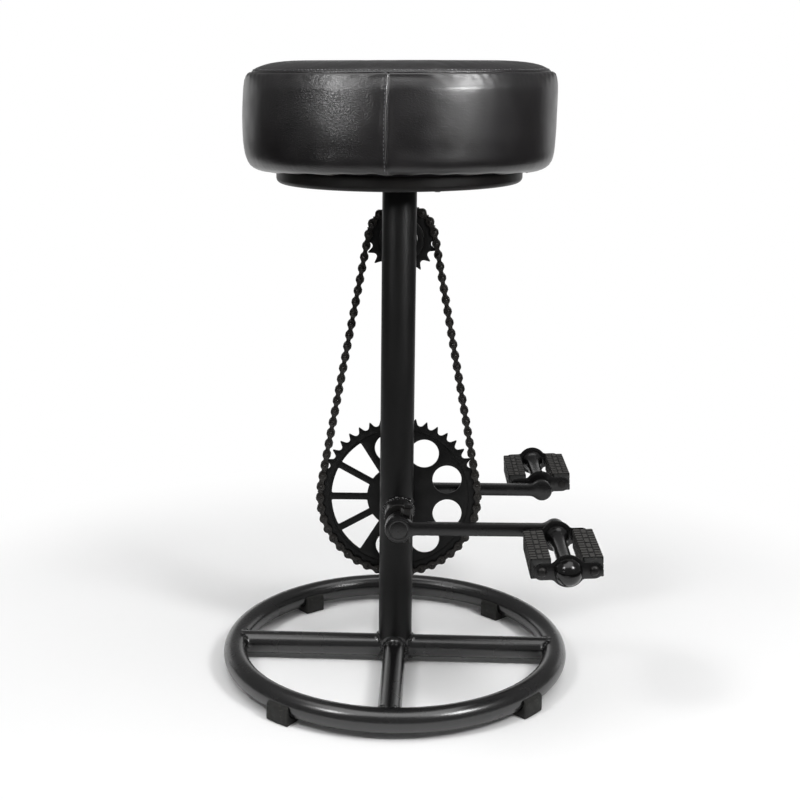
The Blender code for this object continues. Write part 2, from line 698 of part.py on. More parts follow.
def crank_outline():
    """Boss, straight arm and eye, blended with fillets; u runs along the crank."""
    half = CRANK_ARM / 2
    boss = BOSS_DIAMETER / 2
    eye = EYE_DIAMETER / 2
    lift = half + CRANK_FILLET
    boss_x = math.sqrt((boss + CRANK_FILLET) ** 2 - lift ** 2)
    eye_x = CRANK_LENGTH - math.sqrt((eye + CRANK_FILLET) ** 2 - lift ** 2)
    boss_angle = math.atan2(lift, boss_x)
    eye_angle = math.atan2(lift, CRANK_LENGTH - eye_x)
    points = arc((0, 0), boss, math.tau - boss_angle, boss_angle, BOSS_ARC_STEPS)
    points += arc((boss_x, lift), CRANK_FILLET, boss_angle + math.pi, 1.5 * math.pi, FILLET_STEPS)[1:]
    points += arc((eye_x, lift), CRANK_FILLET, 1.5 * math.pi, math.tau - eye_angle, FILLET_STEPS)
    points += arc((CRANK_LENGTH, 0), eye, math.pi - eye_angle, eye_angle - math.pi, EYE_ARC_STEPS)[1:]
    points += arc((eye_x, -lift), CRANK_FILLET, eye_angle, math.pi / 2, FILLET_STEPS)[1:]
    points += arc((boss_x, -lift), CRANK_FILLET, math.pi / 2, math.pi - boss_angle, FILLET_STEPS)[:-1]
    return points


def build_cranks(crank_axis, spindle, steel, fastener):
    bore = rod(SPINDLE_DIAMETER / 2 + GAP, -2 * CRANK_FRONT_FACE, 2 * CRANK_REAR_FACE)
    thread = circle((CRANK_LENGTH, 0), AXLE_THREAD / 2 + GAP, SMALL_SIDES)
    rear_start = SHELL_REAR + CUP_FLANGE + 3 * GAP
    shoulder = CHAIN_LINE + TOOTH_THICKNESS / 2 + GAP
    boss_radius = BOSS_DIAMETER / 2 - BOSS_STEP
    front_arm = CRANK_THICKNESS / 2 - CRANK_FRONT_FACE
    rear_arm = CRANK_REAR_FACE - CRANK_THICKNESS / 2
    front_boss = rod(boss_radius, front_arm, BOSS_WIDTH - CRANK_FRONT_FACE)
    rear_boss = [(0, rear_arm), (boss_radius, rear_arm)]
    rear_boss += [(boss_radius, shoulder + CHAINRING_SHOULDER_WIDTH)]
    rear_boss += [(CHAINRING_SHOULDER / 2, shoulder + CHAINRING_SHOULDER_WIDTH)]
    rear_boss += [(CHAINRING_SHOULDER / 2, shoulder), (CHAINRING_BORE / 2, shoulder)]
    rear_boss += [(CHAINRING_BORE / 2, rear_start), (0, rear_start)]
    sides = (
        ("front", -1, CRANK_FRONT_FACE, front_boss),
        ("rear", 1, CRANK_REAR_FACE, rear_boss),
    )
    for name, way, face, boss in sides:
        arm_bm = extruded([crank_outline(), thread], way * (face - CRANK_THICKNESS), way * face, flat_xz)
        crank = make_piece(f"{name}_crank", arm_bm, steel, crank_axis)
        shape_with(crank, make_piece(f"{name}_boss", turned(boss, SHAFT_SIDES), steel, crank_axis), "UNION")
        hole = make_piece(f"{name}_crank_bore", turned(bore, SHAFT_SIDES), steel, crank_axis)
        shape_with(crank, hole, "DIFFERENCE")
        build_cotter(name, way * (face - COTTER_DEPTH), crank, spindle, crank_axis, fastener)


def build_cotter(name, depth, crank, spindle, crank_axis, fastener):
    """Pin across the boss, beside the spindle, with its nut on top."""
    place = (COTTER_OFFSET, depth, 0)
    radius = COTTER_DIAMETER / 2
    nut_low = BOSS_DIAMETER / 2 + GAP
    nut_high = nut_low + COTTER_NUT_HEIGHT
    pin = rod(radius, -BOSS_DIAMETER / 2 - COTTER_TAIL, nut_high + COTTER_THREAD)
    make_piece(f"{name}_cotter_pin", turned(pin, SMALL_SIDES, about_z), fastener, crank_axis, place)
    way = rod(radius + GAP, -BOSS_DIAMETER, BOSS_DIAMETER)
    drill = make_piece(f"{name}_cotter_hole", turned(way, SMALL_SIDES, about_z), fastener, crank_axis, place)
    shape_with(crank, drill, "DIFFERENCE")
    shape_with(spindle, drill, "DIFFERENCE")
    hexagon = circle((0, 0), COTTER_NUT / math.sqrt(3), NUT_SIDES)
    nut = extruded([hexagon, circle((0, 0), radius + GAP, SMALL_SIDES)], nut_low, nut_high, flat_xy)
    make_piece(f"{name}_cotter_nut", nut, fastener, crank_axis, place)


def plate_outline():
    """Bar with round ends and a round bulge at its middle."""
    half = PLATE_HEIGHT / 2
    bulge = PLATE_BULGE / 2
    meet = math.asin(half / bulge)
    end = BLOCK_SPACING / 2
    points = arc((end, 0), half, -math.pi / 2, math.pi / 2, PLATE_END_STEPS)
    points += arc((0, 0), bulge, meet, math.pi - meet, PLATE_BULGE_STEPS)
    points += arc((-end, 0), half, math.pi / 2, 1.5 * math.pi, PLATE_END_STEPS)
    points += arc((0, 0), bulge, math.pi + meet, math.tau - meet, PLATE_BULGE_STEPS)
    return points


def block_outline(near, far):
    """Side view of a rubber block with sloped ends and cross grooves above and below."""
    half = BLOCK_HEIGHT / 2
    low = min(near, far)
    step = BLOCK_LENGTH / BLOCK_GROOVES
    top = [(low, half - BLOCK_SLOPE_DROP), (low + BLOCK_SLOPE, half)]
    for number in range(BLOCK_GROOVES):
        middle = low + (number + 0.5) * step
        top += [(middle - GROOVE_WIDTH / 2, half), (middle - GROOVE_WIDTH / 2, half - GROOVE_DEPTH)]
        top += [(middle + GROOVE_WIDTH / 2, half - GROOVE_DEPTH), (middle + GROOVE_WIDTH / 2, half)]
    end = low + BLOCK_LENGTH
    top += [(end - BLOCK_SLOPE, half), (end, half - BLOCK_SLOPE_DROP)]
    return top + [(u, -v) for u, v in reversed(top)]


def build_pedal(name, axis, way, crank_axis, face, steel, rubber, fastener):
    """One pedal; way is the outward side along Y and face the outer face of its crank."""
    def out(distance):
        return way * (face + distance)

    inner = PEDAL_STANDOFF
    block_near = inner + PLATE_THICKNESS + GAP
    block_far = block_near + BLOCK_LENGTH
    outer = block_far + GAP
    outer_face = outer + PLATE_THICKNESS
    axle_end = outer_face + GAP + AXLE_TAIL

    bore = circle((0, 0), AXLE_DIAMETER / 2 + GAP, SMALL_SIDES)
    sides = (("left", -BLOCK_SPACING / 2), ("right", BLOCK_SPACING / 2))
    ties = [circle((x, 0), TIE_DIAMETER / 2 + GAP, SMALL_SIDES) for _, x in sides]
    for side, start in (("inner", inner), ("outer", outer)):
        plate = extruded([plate_outline(), bore, *ties], out(start), out(start + PLATE_THICKNESS), flat_xz)
        make_piece(f"{name}_{side}_plate", plate, steel, axis)

    waist = BARREL_WAIST / 2
    bell = BARREL_BELL / 2
    flare = []
    for i in range(FLARE_STEPS + 1):
        share = i / FLARE_STEPS
        flare.append((bell - (bell - waist) * math.sin(math.pi / 2 * share), BARREL_BELL_LENGTH * share))
    barrel = [(radius, out(block_near + run)) for radius, run in flare]
    barrel += [(radius, out(block_far - run)) for radius, run in reversed(flare)]
    barrel += [(AXLE_DIAMETER / 2 + GAP, out(block_far)), (AXLE_DIAMETER / 2 + GAP, out(block_near))]
    make_piece(f"{name}_barrel", turned(barrel, SMALL_SIDES), steel, axis)

    dome_radius = DOME_DIAMETER / 2
    base = outer_face + GAP
    cap = [(0, out(base + DOME_HEIGHT))]
    for i in range(1, DOME_STEPS + 1):
        angle = math.pi / 2 * i / DOME_STEPS
        cap.append((dome_radius * math.sin(angle), out(base + DOME_HEIGHT * max(0.0, math.cos(angle)))))
    hollow = AXLE_DIAMETER / 2 + DOME_WALL
    recess = min(AXLE_TAIL + GAP, DOME_HEIGHT - DOME_WALL)
    cap += [(hollow, out(base)), (hollow, out(base + recess)), (0, out(base + recess))]
    make_piece(f"{name}_dome_cap", turned(cap, SHAFT_SIDES), steel, axis)

    thread = AXLE_THREAD / 2
    stem = AXLE_DIAMETER / 2
    collar = AXLE_COLLAR / 2
    root = -CRANK_THICKNESS
    axle = [(0, out(root)), (thread, out(root)), (thread, out(GAP)), (collar, out(GAP))]
    axle += [(collar, out(inner - GAP)), (stem, out(inner - GAP)), (stem, out(axle_end - 2 * GAP))]
    axle += [(0, out(axle_end - 2 * GAP))]
    make_piece(f"{name}_axle", turned(axle, SMALL_SIDES), fastener, crank_axis, (CRANK_LENGTH, 0, 0))

    for side, x in sides:
        outline = block_outline(out(block_near), out(block_far))
        rubber_bm = extruded([outline], x - BLOCK_WIDTH / 2, x + BLOCK_WIDTH / 2, flat_yz)
        block = make_piece(f"{name}_{side}_block", rubber_bm, rubber, axis)
        through = rod(TIE_DIAMETER / 2 + GAP, out(0), out(outer_face))
        drill = make_piece(f"{name}_{side}_tie_hole", turned(through, SMALL_SIDES), rubber, axis, (x, 0, 0))
        shape_with(block, drill, "DIFFERENCE")
        shank = TIE_DIAMETER / 2
        head = TIE_HEAD / 2
        tail = inner - GAP
        seat = outer_face + GAP
        end = tail - TIE_TAIL
        top = seat + TIE_HEAD_HEIGHT
        tie = [(0, out(end)), (head, out(end)), (head, out(tail)), (shank, out(tail))]
        tie += [(shank, out(seat)), (head, out(seat)), (TIE_HEAD_FLAT / 2, out(top)), (0, out(top))]
        make_piece(f"{name}_{side}_tie_bolt", turned(tie, SMALL_SIDES), fastener, axis, (x, 0, 0))


def outline_shift():
    """How far the post stands from the middle of the stool's outline."""
    tilt = abs(FRONT_PEDAL_TILT)
    pedal = PEDAL_HALF_WIDTH * math.cos(tilt) + BLOCK_HEIGHT / 2 * math.sin(tilt)
    reach = DRIVE_OFFSET + CRANK_LENGTH + pedal
    foot = RING_RADIUS + RING_TUBE / 2
    return (reach - foot) / 2


def main():
    clear_scene()
    steel = make_material("satin_black_steel", (0.018, 0.018, 0.019), 0.38, 0.0)
    fastener = make_material("black_oxide_steel", (0.022, 0.021, 0.021), 0.34, 0.6)
    rubber = make_material("dark_grey_rubber", (0.03, 0.03, 0.029), 0.72)
    black_wood = make_material("black_stained_wood", (0.016, 0.015, 0.015), 0.5)
    wood = make_material("plywood", (0.55, 0.4, 0.24), 0.7)
    foam = make_material("seat_foam", (0.75, 0.7, 0.55), 0.9)
    leather = make_material("black_leather", (0.02, 0.019, 0.02), 0.42)

    stand = make_empty("stand_axis", None, (-outline_shift(), 0, 0))
    crank_axis = make_empty("crank_axis", stand, (DRIVE_OFFSET, 0, BRACKET_HEIGHT))
    sprocket_axis = make_empty("sprocket_axis", stand, (DRIVE_OFFSET, 0, BRACKET_HEIGHT + AXIS_DISTANCE))
    front_axis = make_empty("front_pedal_axis", crank_axis, (CRANK_LENGTH, 0, 0), FRONT_PEDAL_TILT)
    rear_axis = make_empty("rear_pedal_axis", crank_axis, (CRANK_LENGTH, 0, 0), REAR_PEDAL_TILT)

    build_base(stand, steel, rubber)
    screw_centres = build_post(stand, steel, fastener)
    build_seat(stand, screw_centres, black_wood, wood, foam, leather)
    build_chain(stand, steel)
    build_wheels(stand, crank_axis, sprocket_axis, steel, fastener)
    spindle = build_bracket(stand, crank_axis, steel, fastener)
    build_cranks(crank_axis, spindle, steel, fastener)
    build_pedal("front_pedal", front_axis, -1, crank_axis, CRANK_FRONT_FACE, steel, rubber, fastener)
    build_pedal("rear_pedal", rear_axis, 1, crank_axis, CRANK_REAR_FACE, steel, rubber, fastener)


main()
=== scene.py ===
"""Looks of a bar stool on a bicycle drive: fine shapes, finishes, light and camera round its solids.

Metres, +Z up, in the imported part's frame. Every piece is built in place and rides on one of its bodies.
"""

import json
import math
from collections import namedtuple

import bmesh
import bpy
import numpy as np
from bpy.props import FloatProperty, FloatVectorProperty, PointerProperty
from mathutils import Euler, Matrix, Vector, noise
from mathutils.bvhtree import BVHTree


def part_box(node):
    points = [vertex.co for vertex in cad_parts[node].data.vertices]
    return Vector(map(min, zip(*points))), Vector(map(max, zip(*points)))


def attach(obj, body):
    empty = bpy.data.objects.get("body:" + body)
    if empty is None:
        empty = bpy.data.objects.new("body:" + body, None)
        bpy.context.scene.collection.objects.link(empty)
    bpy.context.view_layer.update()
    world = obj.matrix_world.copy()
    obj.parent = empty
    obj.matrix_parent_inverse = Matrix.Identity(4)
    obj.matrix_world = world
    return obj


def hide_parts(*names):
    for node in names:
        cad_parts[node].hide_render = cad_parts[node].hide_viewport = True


bl_info = {
    "name": "Bicycle drive bar stool",
    "version": (1, 0, 0),
    "blender": (4, 5, 0),
    "location": "3D View > Sidebar > Stool",
    "description": "Builds the looks of a bar stool on a bicycle drive",
    "category": "Object",
}

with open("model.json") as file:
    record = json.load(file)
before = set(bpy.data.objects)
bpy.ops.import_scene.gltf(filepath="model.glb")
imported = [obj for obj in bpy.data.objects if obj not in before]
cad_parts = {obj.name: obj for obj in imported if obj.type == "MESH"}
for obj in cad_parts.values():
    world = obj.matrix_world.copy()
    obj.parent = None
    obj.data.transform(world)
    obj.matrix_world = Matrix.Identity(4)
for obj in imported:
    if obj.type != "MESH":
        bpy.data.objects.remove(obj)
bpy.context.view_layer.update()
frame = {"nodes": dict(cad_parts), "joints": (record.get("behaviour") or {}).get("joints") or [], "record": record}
JOINTS = {joint["name"]: Vector(joint["pos_m"]) for joint in frame["joints"]}
CRANK, SPROCKET, PEDAL = [Vector((JOINTS[name].x, 0.0, JOINTS[name].z))
                          for name in ("crank_spin", "sprocket_spin", "front_pedal_spin")]
POST = (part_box("post_tube")[0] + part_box("post_tube")[1]) / 2
POST.z = 0.0

# Fit between pieces
GAP = 0.0003

# Base
RING_RADIUS = 0.1786
RING_TUBE = 0.0254
RING_HEIGHT = 0.0175
SPOKE_TUBE = 0.0246
SPOKE_HEIGHT = 0.0173
CROSS_TURN = math.radians(-1.7)
FOOT_LENGTH = 0.026
FOOT_WALL = 0.0035
FOOT_LIP = 0.0045
FOOT_CORNER = 0.002
FOOT_TURNS = {"rear_right": 46, "rear_left": 127, "front_left": 232, "front_right": 318}
POST_RADIUS = 0.037 / 2
POST_BOTTOM, POST_TOP = [corner.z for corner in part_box("post_tube")]

# Seat
PAN_RADIUS = 0.1301
PAN_ROUND = 0.0055
PAN_LOW, PAN_HIGH = [corner.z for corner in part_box("seat_pan")]
SEAT_REACH = 0.165
SEAT_LEAN = math.tan(math.radians(0.7))
SEAM_RADIUS = 0.1565
SEAM_HEIGHT = 0.6548
SEAM_TURN = math.radians(-94.3)
SEAMS = (0.0, math.pi)
THREAD_LIFT = 0.0002

# Chain and wheels
CHAIN_LINE = 0.034
CHAIN_PITCH = 0.0127
CHAIN_LINKS = 78
CHAIN_PHASE = 0.86
LINK_END = 0.0048
LINK_WAIST = 0.0023
CHAINRING_TEETH = 44
SPROCKET_TEETH = 18
TOOTH_THICKNESS = 0.0028
TOOTH_NEAR = CHAIN_LINE - TOOTH_THICKNESS / 2
TOOTH_FAR = CHAIN_LINE + TOOTH_THICKNESS / 2
ROLLER_SEAT = 0.0040
AXIS_DISTANCE = SPROCKET.z - CRANK.z
WEB_HOLES = 6
WEB_HOLE_RADIUS = 0.0164
WEB_HOLE_REACH = 0.058
WEB_WINDOWS = 4

# Bracket, sprocket axle and cranks
SHELL_RADIUS = 0.030 / 2
SHELL_BORE = 0.0120
SHELL_FRONT = -0.038
SHELL_REAR = 0.0235
CUP_BODY = 0.0117
CUP_DEPTH = 0.010
CUP_RIM = 0.0028
SPINDLE_RADIUS = 0.016 / 2
CORE_RADIUS = 0.0170
CORE_HALF = 0.0075
STUB_RADIUS = 0.0110
STUB_THREAD = 0.0060
NUT_ACROSS = 0.017
WASHER_RADIUS = 0.0120
CRANK_LENGTH = PEDAL.x - CRANK.x
CRANK_ARM = 0.0125
CRANK_THICKNESS = 0.012
CRANK_FILLET = 0.012
CRANK_FACES = {"front": 0.078, "rear": 0.070}
CRANK_STARTS = {"front": -CRANK_FACES["front"] + 0.018, "rear": 0.0269}
BOSS_RADIUS = 0.029 / 2
EYE_RADIUS = 0.023 / 2

# Pedals
PEDAL_TILTS = {"front": math.radians(-2.7), "rear": math.radians(-2.6)}
PEDAL_STANDOFF = 0.012
PLATE_THICKNESS = 0.002
PLATE_HALF = 0.0085
PLATE_BULGE = 0.0166
PLATE_FILLET = 0.005
AXLE_BORE = 0.0053
BLOCK_LENGTH = 0.095
BLOCK_SPACING = 0.0512
BLOCK_SLOPE = 0.007
BLOCK_SLOPE_DROP = 0.003
TREAD = 0.0010
TREAD_PITCH = 0.0068
TREAD_SIZES = {"rib": (0.0062, 0.0046), "brick": (0.0044, 0.0108)}
BLOCK_HALF = 0.0205 / 2 - TREAD
DOME_RADIUS = 0.0138
DOME_HEIGHT = 0.015
SIDES = (("front", -1), ("rear", 1))

# Node kinds
MATH = "ShaderNodeMath"
VECTOR = "ShaderNodeVectorMath"
NOISE = "ShaderNodeTexNoise"
CELLS = "ShaderNodeTexVoronoi"
RANGE = "ShaderNodeMapRange"
MAPPING = "ShaderNodeMapping"
MIX = "ShaderNodeMix"

# Finishes: a name, the part's slot, shader values, two shades, the size of their clouds in millimetres, the
# range of roughness, the size and strength of the bump, and whether it is scuffed
Finish = namedtuple("Finish", "name slot shader shades cloud rough bump scuffed", defaults=(False,))
# Faint orange peel and an uneven soft sheen
SATIN = Finish("satin_black_enamel_on_steel", "black_steel", {"IOR": 1.5}, ("#0c0c0c", "#131213"), 38,
               (0.24, 0.3), (1.6, 0.03))
# Deep black under broad bright highlights
THICK = SATIN._replace(name="thick_black_enamel", shader={"IOR": 1.75}, rough=(0.23, 0.29))
# Flat and even, with hardly any reflection
POWDER = Finish("black_powder_coat", "black_steel", {"IOR": 1.33}, ("#0b0b0b", "#111111"), 60,
                (0.4, 0.48), (1.2, 0.05))
# Tight bright highlights on pressed caps and weld beads
GLOSS = Finish("gloss_black_enamel", "black_steel", {"IOR": 1.5}, ("#0a0a0a", "#111111"), 14,
               (0.14, 0.19), (1.4, 0.03))
# Dark metal with a dull oily sheen on turned fasteners
OXIDE = Finish("black_oxide_steel", "black_oxide", {"Metallic": 0.6}, ("#1b1a1a", "#2a2928"), 5,
               (0.3, 0.48), (0.5, 0.12))
# Blackened steel with a thin film of oil and grime
CHAIN_STEEL = Finish("oiled_black_chain_steel", "chain_steel", {"Metallic": 0.35}, ("#191817", "#322f2c"), 6,
                     (0.22, 0.4), (0.6, 0.15))
# Moulded black rubber with a fine matt grain, greyed by dust and wear
FOOT_RUBBER = Finish("worn_dark_rubber", "rubber", {"IOR": 1.5}, ("#141412", "#22221f"), 7,
                     (0.62, 0.85), (0.5, 0.35), True)
# The same rubber, painted deeper black on the block and the treads' sides: painted shade down between the treads
PEDAL_RUBBER_PAINTED_SHADE = FOOT_RUBBER._replace(name="pedal_rubber_painted_shade", shades=("#0c0c0c", "#141413"))
# The same rubber, paler grey on the treads' outer faces: partly dust where shoes rub the treads, partly painted
# light
TREAD_RUBBER_DUST_AND_PAINTED_LIGHT = FOOT_RUBBER._replace(name="tread_rubber_dust_and_painted_light", shades=("#2c2b2a", "#464442"))
# Black-stained turned wood with a soft uneven film
WOOD = Finish("black_stained_wood", "black_wood", {"IOR": 1.33}, ("#0b0a0a", "#131110"), 16,
              (0.42, 0.5), (2.2, 0.06))
# Pale and dry
PLY = Finish("bare_plywood", "plywood", {"IOR": 1.5}, ("#a8875c", "#c9ab80"), 9, (0.6, 0.75), (1.0, 0.2))
# Dry grey bonded thread with a slight twist
THREAD = Finish("grey_polyester_thread", "leather", {"IOR": 1.5}, ("#48484a", "#6a6a6c"), 3,
                (0.5, 0.65), (0.4, 0.3))
# Undyed fibre of a cut edge, paler than the face
RAW_EDGE = Finish("raw_leather_edge", "leather", {"IOR": 1.5}, ("#3a3736", "#6d6966"), 4,
                  (0.6, 0.8), (0.5, 0.4))
# Black cowhide with fine pores, creased where it is pulled, and a soft waxed sheen
LEATHER = Finish("black_creased_leather", "leather", {"IOR": 1.6}, ("#0e0d0e", "#161415"), 22,
                 (0.3, 0.38), (0.9, 0.16))


def srgb(code):
    """Linear colour of an sRGB hex code."""
    values = [int(code[i:i + 2], 16) / 255 for i in (1, 3, 5)]
    linear = [v / 12.92 if v <= 0.04045 else ((v + 0.055) / 1.055) ** 2.4 for v in values]
    return (*linear, 1.0)


def per(millimetres):
    """Texture scale at which one feature is this long."""
    return 1000.0 / millimetres


def feed(tree, made, inputs):
    """Set a node's inputs to values, or link them to the sockets or nodes that feed them."""
    for key, value in inputs.items():
        if isinstance(value, bpy.types.Node):
            value = next(socket for socket in value.outputs if socket.enabled)
        if isinstance(value, bpy.types.NodeSocket):
            tree.links.new(value, made.inputs[key])
        else:
            made.inputs[key].default_value = value


def add_node(tree, kind, inputs=None, **settings):
    """Add a node with its settings and inputs."""
    made = tree.nodes.new(kind)
    for key, value in settings.items():
        setattr(made, key, value)
    feed(tree, made, inputs or {})
    return made


def start_material(name, values):
    """New material, its tree, its shader and its object coordinates."""
    material = bpy.data.materials.new(name)
    material.use_nodes = True
    tree = material.node_tree
    shader = tree.nodes["Principled BSDF"]
    feed(tree, shader, values)
    return material, tree, shader, add_node(tree, "ShaderNodeTexCoord").outputs["Object"]


def coated(finish, height=None):
    """Material of a finish, made once; height adds nodes for a relief in the place of the fine bump."""
    if finish.name in bpy.data.materials:
        return bpy.data.materials[finish.name]
    material, tree, shader, coords = start_material(finish.name, finish.shader)
    dark, light = [srgb(code) for code in finish.shades]
    low, high = finish.rough
    grain, strength = finish.bump
    cloud = add_node(tree, NOISE, {"Vector": coords, "Scale": per(finish.cloud), "Detail": 3.0})
    shade = add_node(tree, MIX, {"Factor": cloud, "A": dark, "B": light}, data_type="RGBA")
    if finish.scuffed:
        scuff = add_node(tree, NOISE, {"Vector": coords, "Scale": per(2.2), "Detail": 5.0})
        rub = add_node(tree, RANGE, {"Value": scuff, "From Min": 0.6, "From Max": 0.78, "To Max": 0.5})
        shade = add_node(tree, MIX, {"Factor": rub, "A": shade, "B": srgb("#6a6862")}, data_type="RGBA")
    sheen = add_node(tree, RANGE, {
        "Value": cloud, "From Min": 0.3, "From Max": 0.7, "To Min": low, "To Max": high})
    if height:
        peel = height(tree, coords)
    else:
        peel = add_node(tree, NOISE, {"Vector": coords, "Scale": per(grain), "Detail": 2.0})
    relief = add_node(tree, "ShaderNodeBump", {
        "Height": peel, "Strength": strength, "Distance": grain / 1000})
    feed(tree, shader, {"Base Color": shade, "Roughness": sheen, "Normal": relief})
    return material


def nearness(tree, coords, places, least):
    """Largest of several soft spots; each has a place, an inner and an outer radius and a weight."""
    most = None
    for place, near, far, weight in places:
        away = add_node(tree, VECTOR, {0: coords, 1: place}, operation="DISTANCE")
        spot = add_node(tree, RANGE, {
            "Value": away, "From Min": near, "From Max": far, "To Min": weight, "To Max": least},
            interpolation_type="SMOOTHSTEP")
        most = add_node(tree, MATH, {0: most, 1: spot}, operation="MAXIMUM") if most else spot
    return most


def creases(tree, coords, pulls, wrinkles):
    """Relief of leather: drawn pillows where it is pulled, flat lines where it wrinkles, and pores."""
    drift = add_node(tree, NOISE, {"Vector": coords, "Scale": per(8), "Detail": 2.0})
    centred = add_node(tree, VECTOR, {0: drift.outputs["Color"], 1: (0.5, 0.5, 0.5)}, operation="SUBTRACT")
    bent = add_node(tree, VECTOR, {0: centred, 1: (0.007, 0.007, 0.007), 2: coords}, operation="MULTIPLY_ADD")
    drawn = add_node(tree, MAPPING, {"Vector": bent, "Rotation": (0.0, math.radians(-16), 0.0),
                                     "Scale": (0.5, 0.5, 1.2)})
    height = 0.0
    # The cells and pores are drawn coarser than in real leather, so that they show
    for size, share in ((2.2, 1.0), (1.1, 0.4)):
        cells = add_node(tree, CELLS, {"Vector": drawn, "Scale": per(size)}, feature="DISTANCE_TO_EDGE")
        pillow = add_node(tree, RANGE, {"Value": cells, "From Max": 0.3, "To Max": share},
                          interpolation_type="SMOOTHSTEP")
        height = add_node(tree, MATH, {0: pillow, 1: height}, operation="ADD")
    patchy = add_node(tree, NOISE, {"Vector": coords, "Scale": per(26), "Detail": 1.0})
    share = add_node(tree, RANGE, {"Value": patchy, "From Min": 0.35, "From Max": 0.65, "To Min": 0.4})
    for factor in (share, nearness(tree, coords, pulls, 0.05)):
        height = add_node(tree, MATH, {0: height, 1: factor}, operation="MULTIPLY")
    flat = add_node(tree, MAPPING, {"Vector": bent, "Scale": (0.16, 0.16, 1.0)})
    lines = add_node(tree, NOISE, {"Vector": flat, "Scale": per(1.7), "Detail": 1.0})
    pores = add_node(tree, CELLS, {"Vector": coords, "Scale": per(1.3)})
    for relief, factor in ((lines, nearness(tree, coords, wrinkles, 0.25)), (pores, 0.12)):
        height = add_node(tree, MATH, {0: relief, 1: factor, 2: height}, operation="MULTIPLY_ADD")
    return height


# Meshes

def about_y(centre):
    """Place of a turned point: the radius and angle lie in the XZ plane, the height runs along Y."""
    return lambda radius, depth, angle: (
        centre.x + radius * math.cos(angle), depth, centre.z + radius * math.sin(angle))


def about_z(centre):
    """Place of a turned point: the height runs along Z."""
    return lambda radius, height, angle: (
        centre.x + radius * math.cos(angle), centre.y + radius * math.sin(angle), height)


def flat_xz(centre):
    """Place of a flat outline's point in the XZ plane, at a depth along Y."""
    return lambda u, v, depth: (centre.x + u, depth, centre.z + v)


def arc(centre, radius, start, stop, steps):
    angles = [start + (stop - start) * i / steps for i in range(steps + 1)]
    return [(centre[0] + radius * math.cos(a), centre[1] + radius * math.sin(a)) for a in angles]


def circle(radius, sides, centre=(0.0, 0.0)):
    return arc(centre, radius, 0.0, math.tau, sides)[:-1]


def sleeve(inner, outer, near, far):
    """Outline of a plain ring, or of a disc if it has no inner radius."""
    return [(inner, near), (outer, near), (outer, far), (inner, far)]


def curved(first, bend, last, steps):
    """Points of a quadratic curve."""
    shares = [k / steps for k in range(steps + 1)]
    return [(1 - t) ** 2 * first + 2 * t * (1 - t) * bend + t ** 2 * last for t in shares]


def softened(points, radius):
    """Closed outline with its corners rounded off, apart from those on the axis."""
    done = []
    for i, corner in enumerate(points):
        here = Vector(corner)
        before = Vector(points[i - 1]) - here
        after = Vector(points[(i + 1) % len(points)]) - here
        if here.x == 0:
            done.append(tuple(here))
            continue
        first = here + before.normalized() * min(radius, 0.45 * before.length)
        last = here + after.normalized() * min(radius, 0.45 * after.length)
        done += [tuple(p) for p in curved(first, here, last, 3)]
    return done


def lathe(profile, sides, place):
    """Solid turned from a closed (radius, height) outline."""
    bm = bmesh.new()
    columns = []
    for radius, height in profile:
        if radius == 0:
            columns.append([bm.verts.new(place(0.0, height, 0.0))] * sides)
        else:
            columns.append([bm.verts.new(place(radius, height, math.tau * i / sides)) for i in range(sides)])
    for here, there in zip(columns, columns[1:] + columns[:1]):
        for i in range(sides):
            j = (i + 1) % sides
            corners = list(dict.fromkeys((here[i], here[j], there[j], there[i])))
            if len(corners) > 2:
                bm.faces.new(corners)
    return bm


def moved_in(loop, distance, hole):
    """Loop moved into the material by a distance."""
    points = [Vector(p) for p in loop]
    area = sum(a.x * b.y - a.y * b.x for a, b in zip(points, points[1:] + points[:1]))
    side = distance if (area > 0) != hole else -distance
    moved = []
    for i, here in enumerate(points):
        first = (here - points[i - 1]).normalized()
        second = (points[(i + 1) % len(points)] - here).normalized()
        normal = Vector((-first.y - second.y, first.x + second.x))
        normal.normalize()
        stretch = max(0.5, normal.dot(Vector((-first.y, first.x))))
        moved.append(here + normal * side / stretch)
    return moved


def plate(loops, near, far, bevel, place, steps=1):
    """Flat solid with rounded edges; the first loop is the outline and the others are holes."""
    way = math.copysign(1.0, far - near)
    rounding = ((0.0, bevel), (0.3 * bevel, 0.3 * bevel), (bevel, 0.0))
    depths = [(near + way * run, inset) for run, inset in rounding]
    depths += [(near + (far - near) * i / steps, 0.0) for i in range(1, steps)]
    depths += [(far - way * run, inset) for run, inset in reversed(rounding)]
    flat = bmesh.new()
    edges = []
    for number, loop in enumerate(loops):
        ring = [flat.verts.new((p[0], p[1], 0.0)) for p in moved_in(loop, bevel, number > 0)]
        edges += [flat.edges.new(pair) for pair in zip(ring, ring[1:] + ring[:1])]
    flat.verts.index_update()
    bmesh.ops.triangle_fill(flat, edges=edges, use_beauty=True, normal=(0, 0, 1))
    triangles = [[vert.index for vert in face.verts] for face in flat.faces]
    flat.free()
    bm = bmesh.new()
    layers = []
    for depth, inset in depths:
        layer = []
        for number, loop in enumerate(loops):
            layer += [bm.verts.new(place(p[0], p[1], depth)) for p in moved_in(loop, inset, number > 0)]
        layers.append(layer)
    for end in (layers[0], layers[-1]):
        for triangle in triangles:
            bm.faces.new([end[i] for i in triangle])
    for here, there in zip(layers, layers[1:]):
        first = 0
        for loop in loops:
            for i in range(len(loop)):
                a = first + i
                b = first + (i + 1) % len(loop)
                bm.faces.new((here[a], here[b], there[b], there[a]))
            first += len(loop)
    return bm


def skin_of(lines):
    """Closed solid from lines that run side by side all round it."""
    bm = bmesh.new()
    columns = [[bm.verts.new(p) for p in line] for line in lines]
    for here, there in zip(columns, columns[1:] + columns[:1]):
        for a in range(len(here) - 1):
            bm.faces.new((here[a], here[a + 1], there[a + 1], there[a]))
    bm.faces.new([column[0] for column in columns])
    bm.faces.new([column[-1] for column in columns])
    return bm


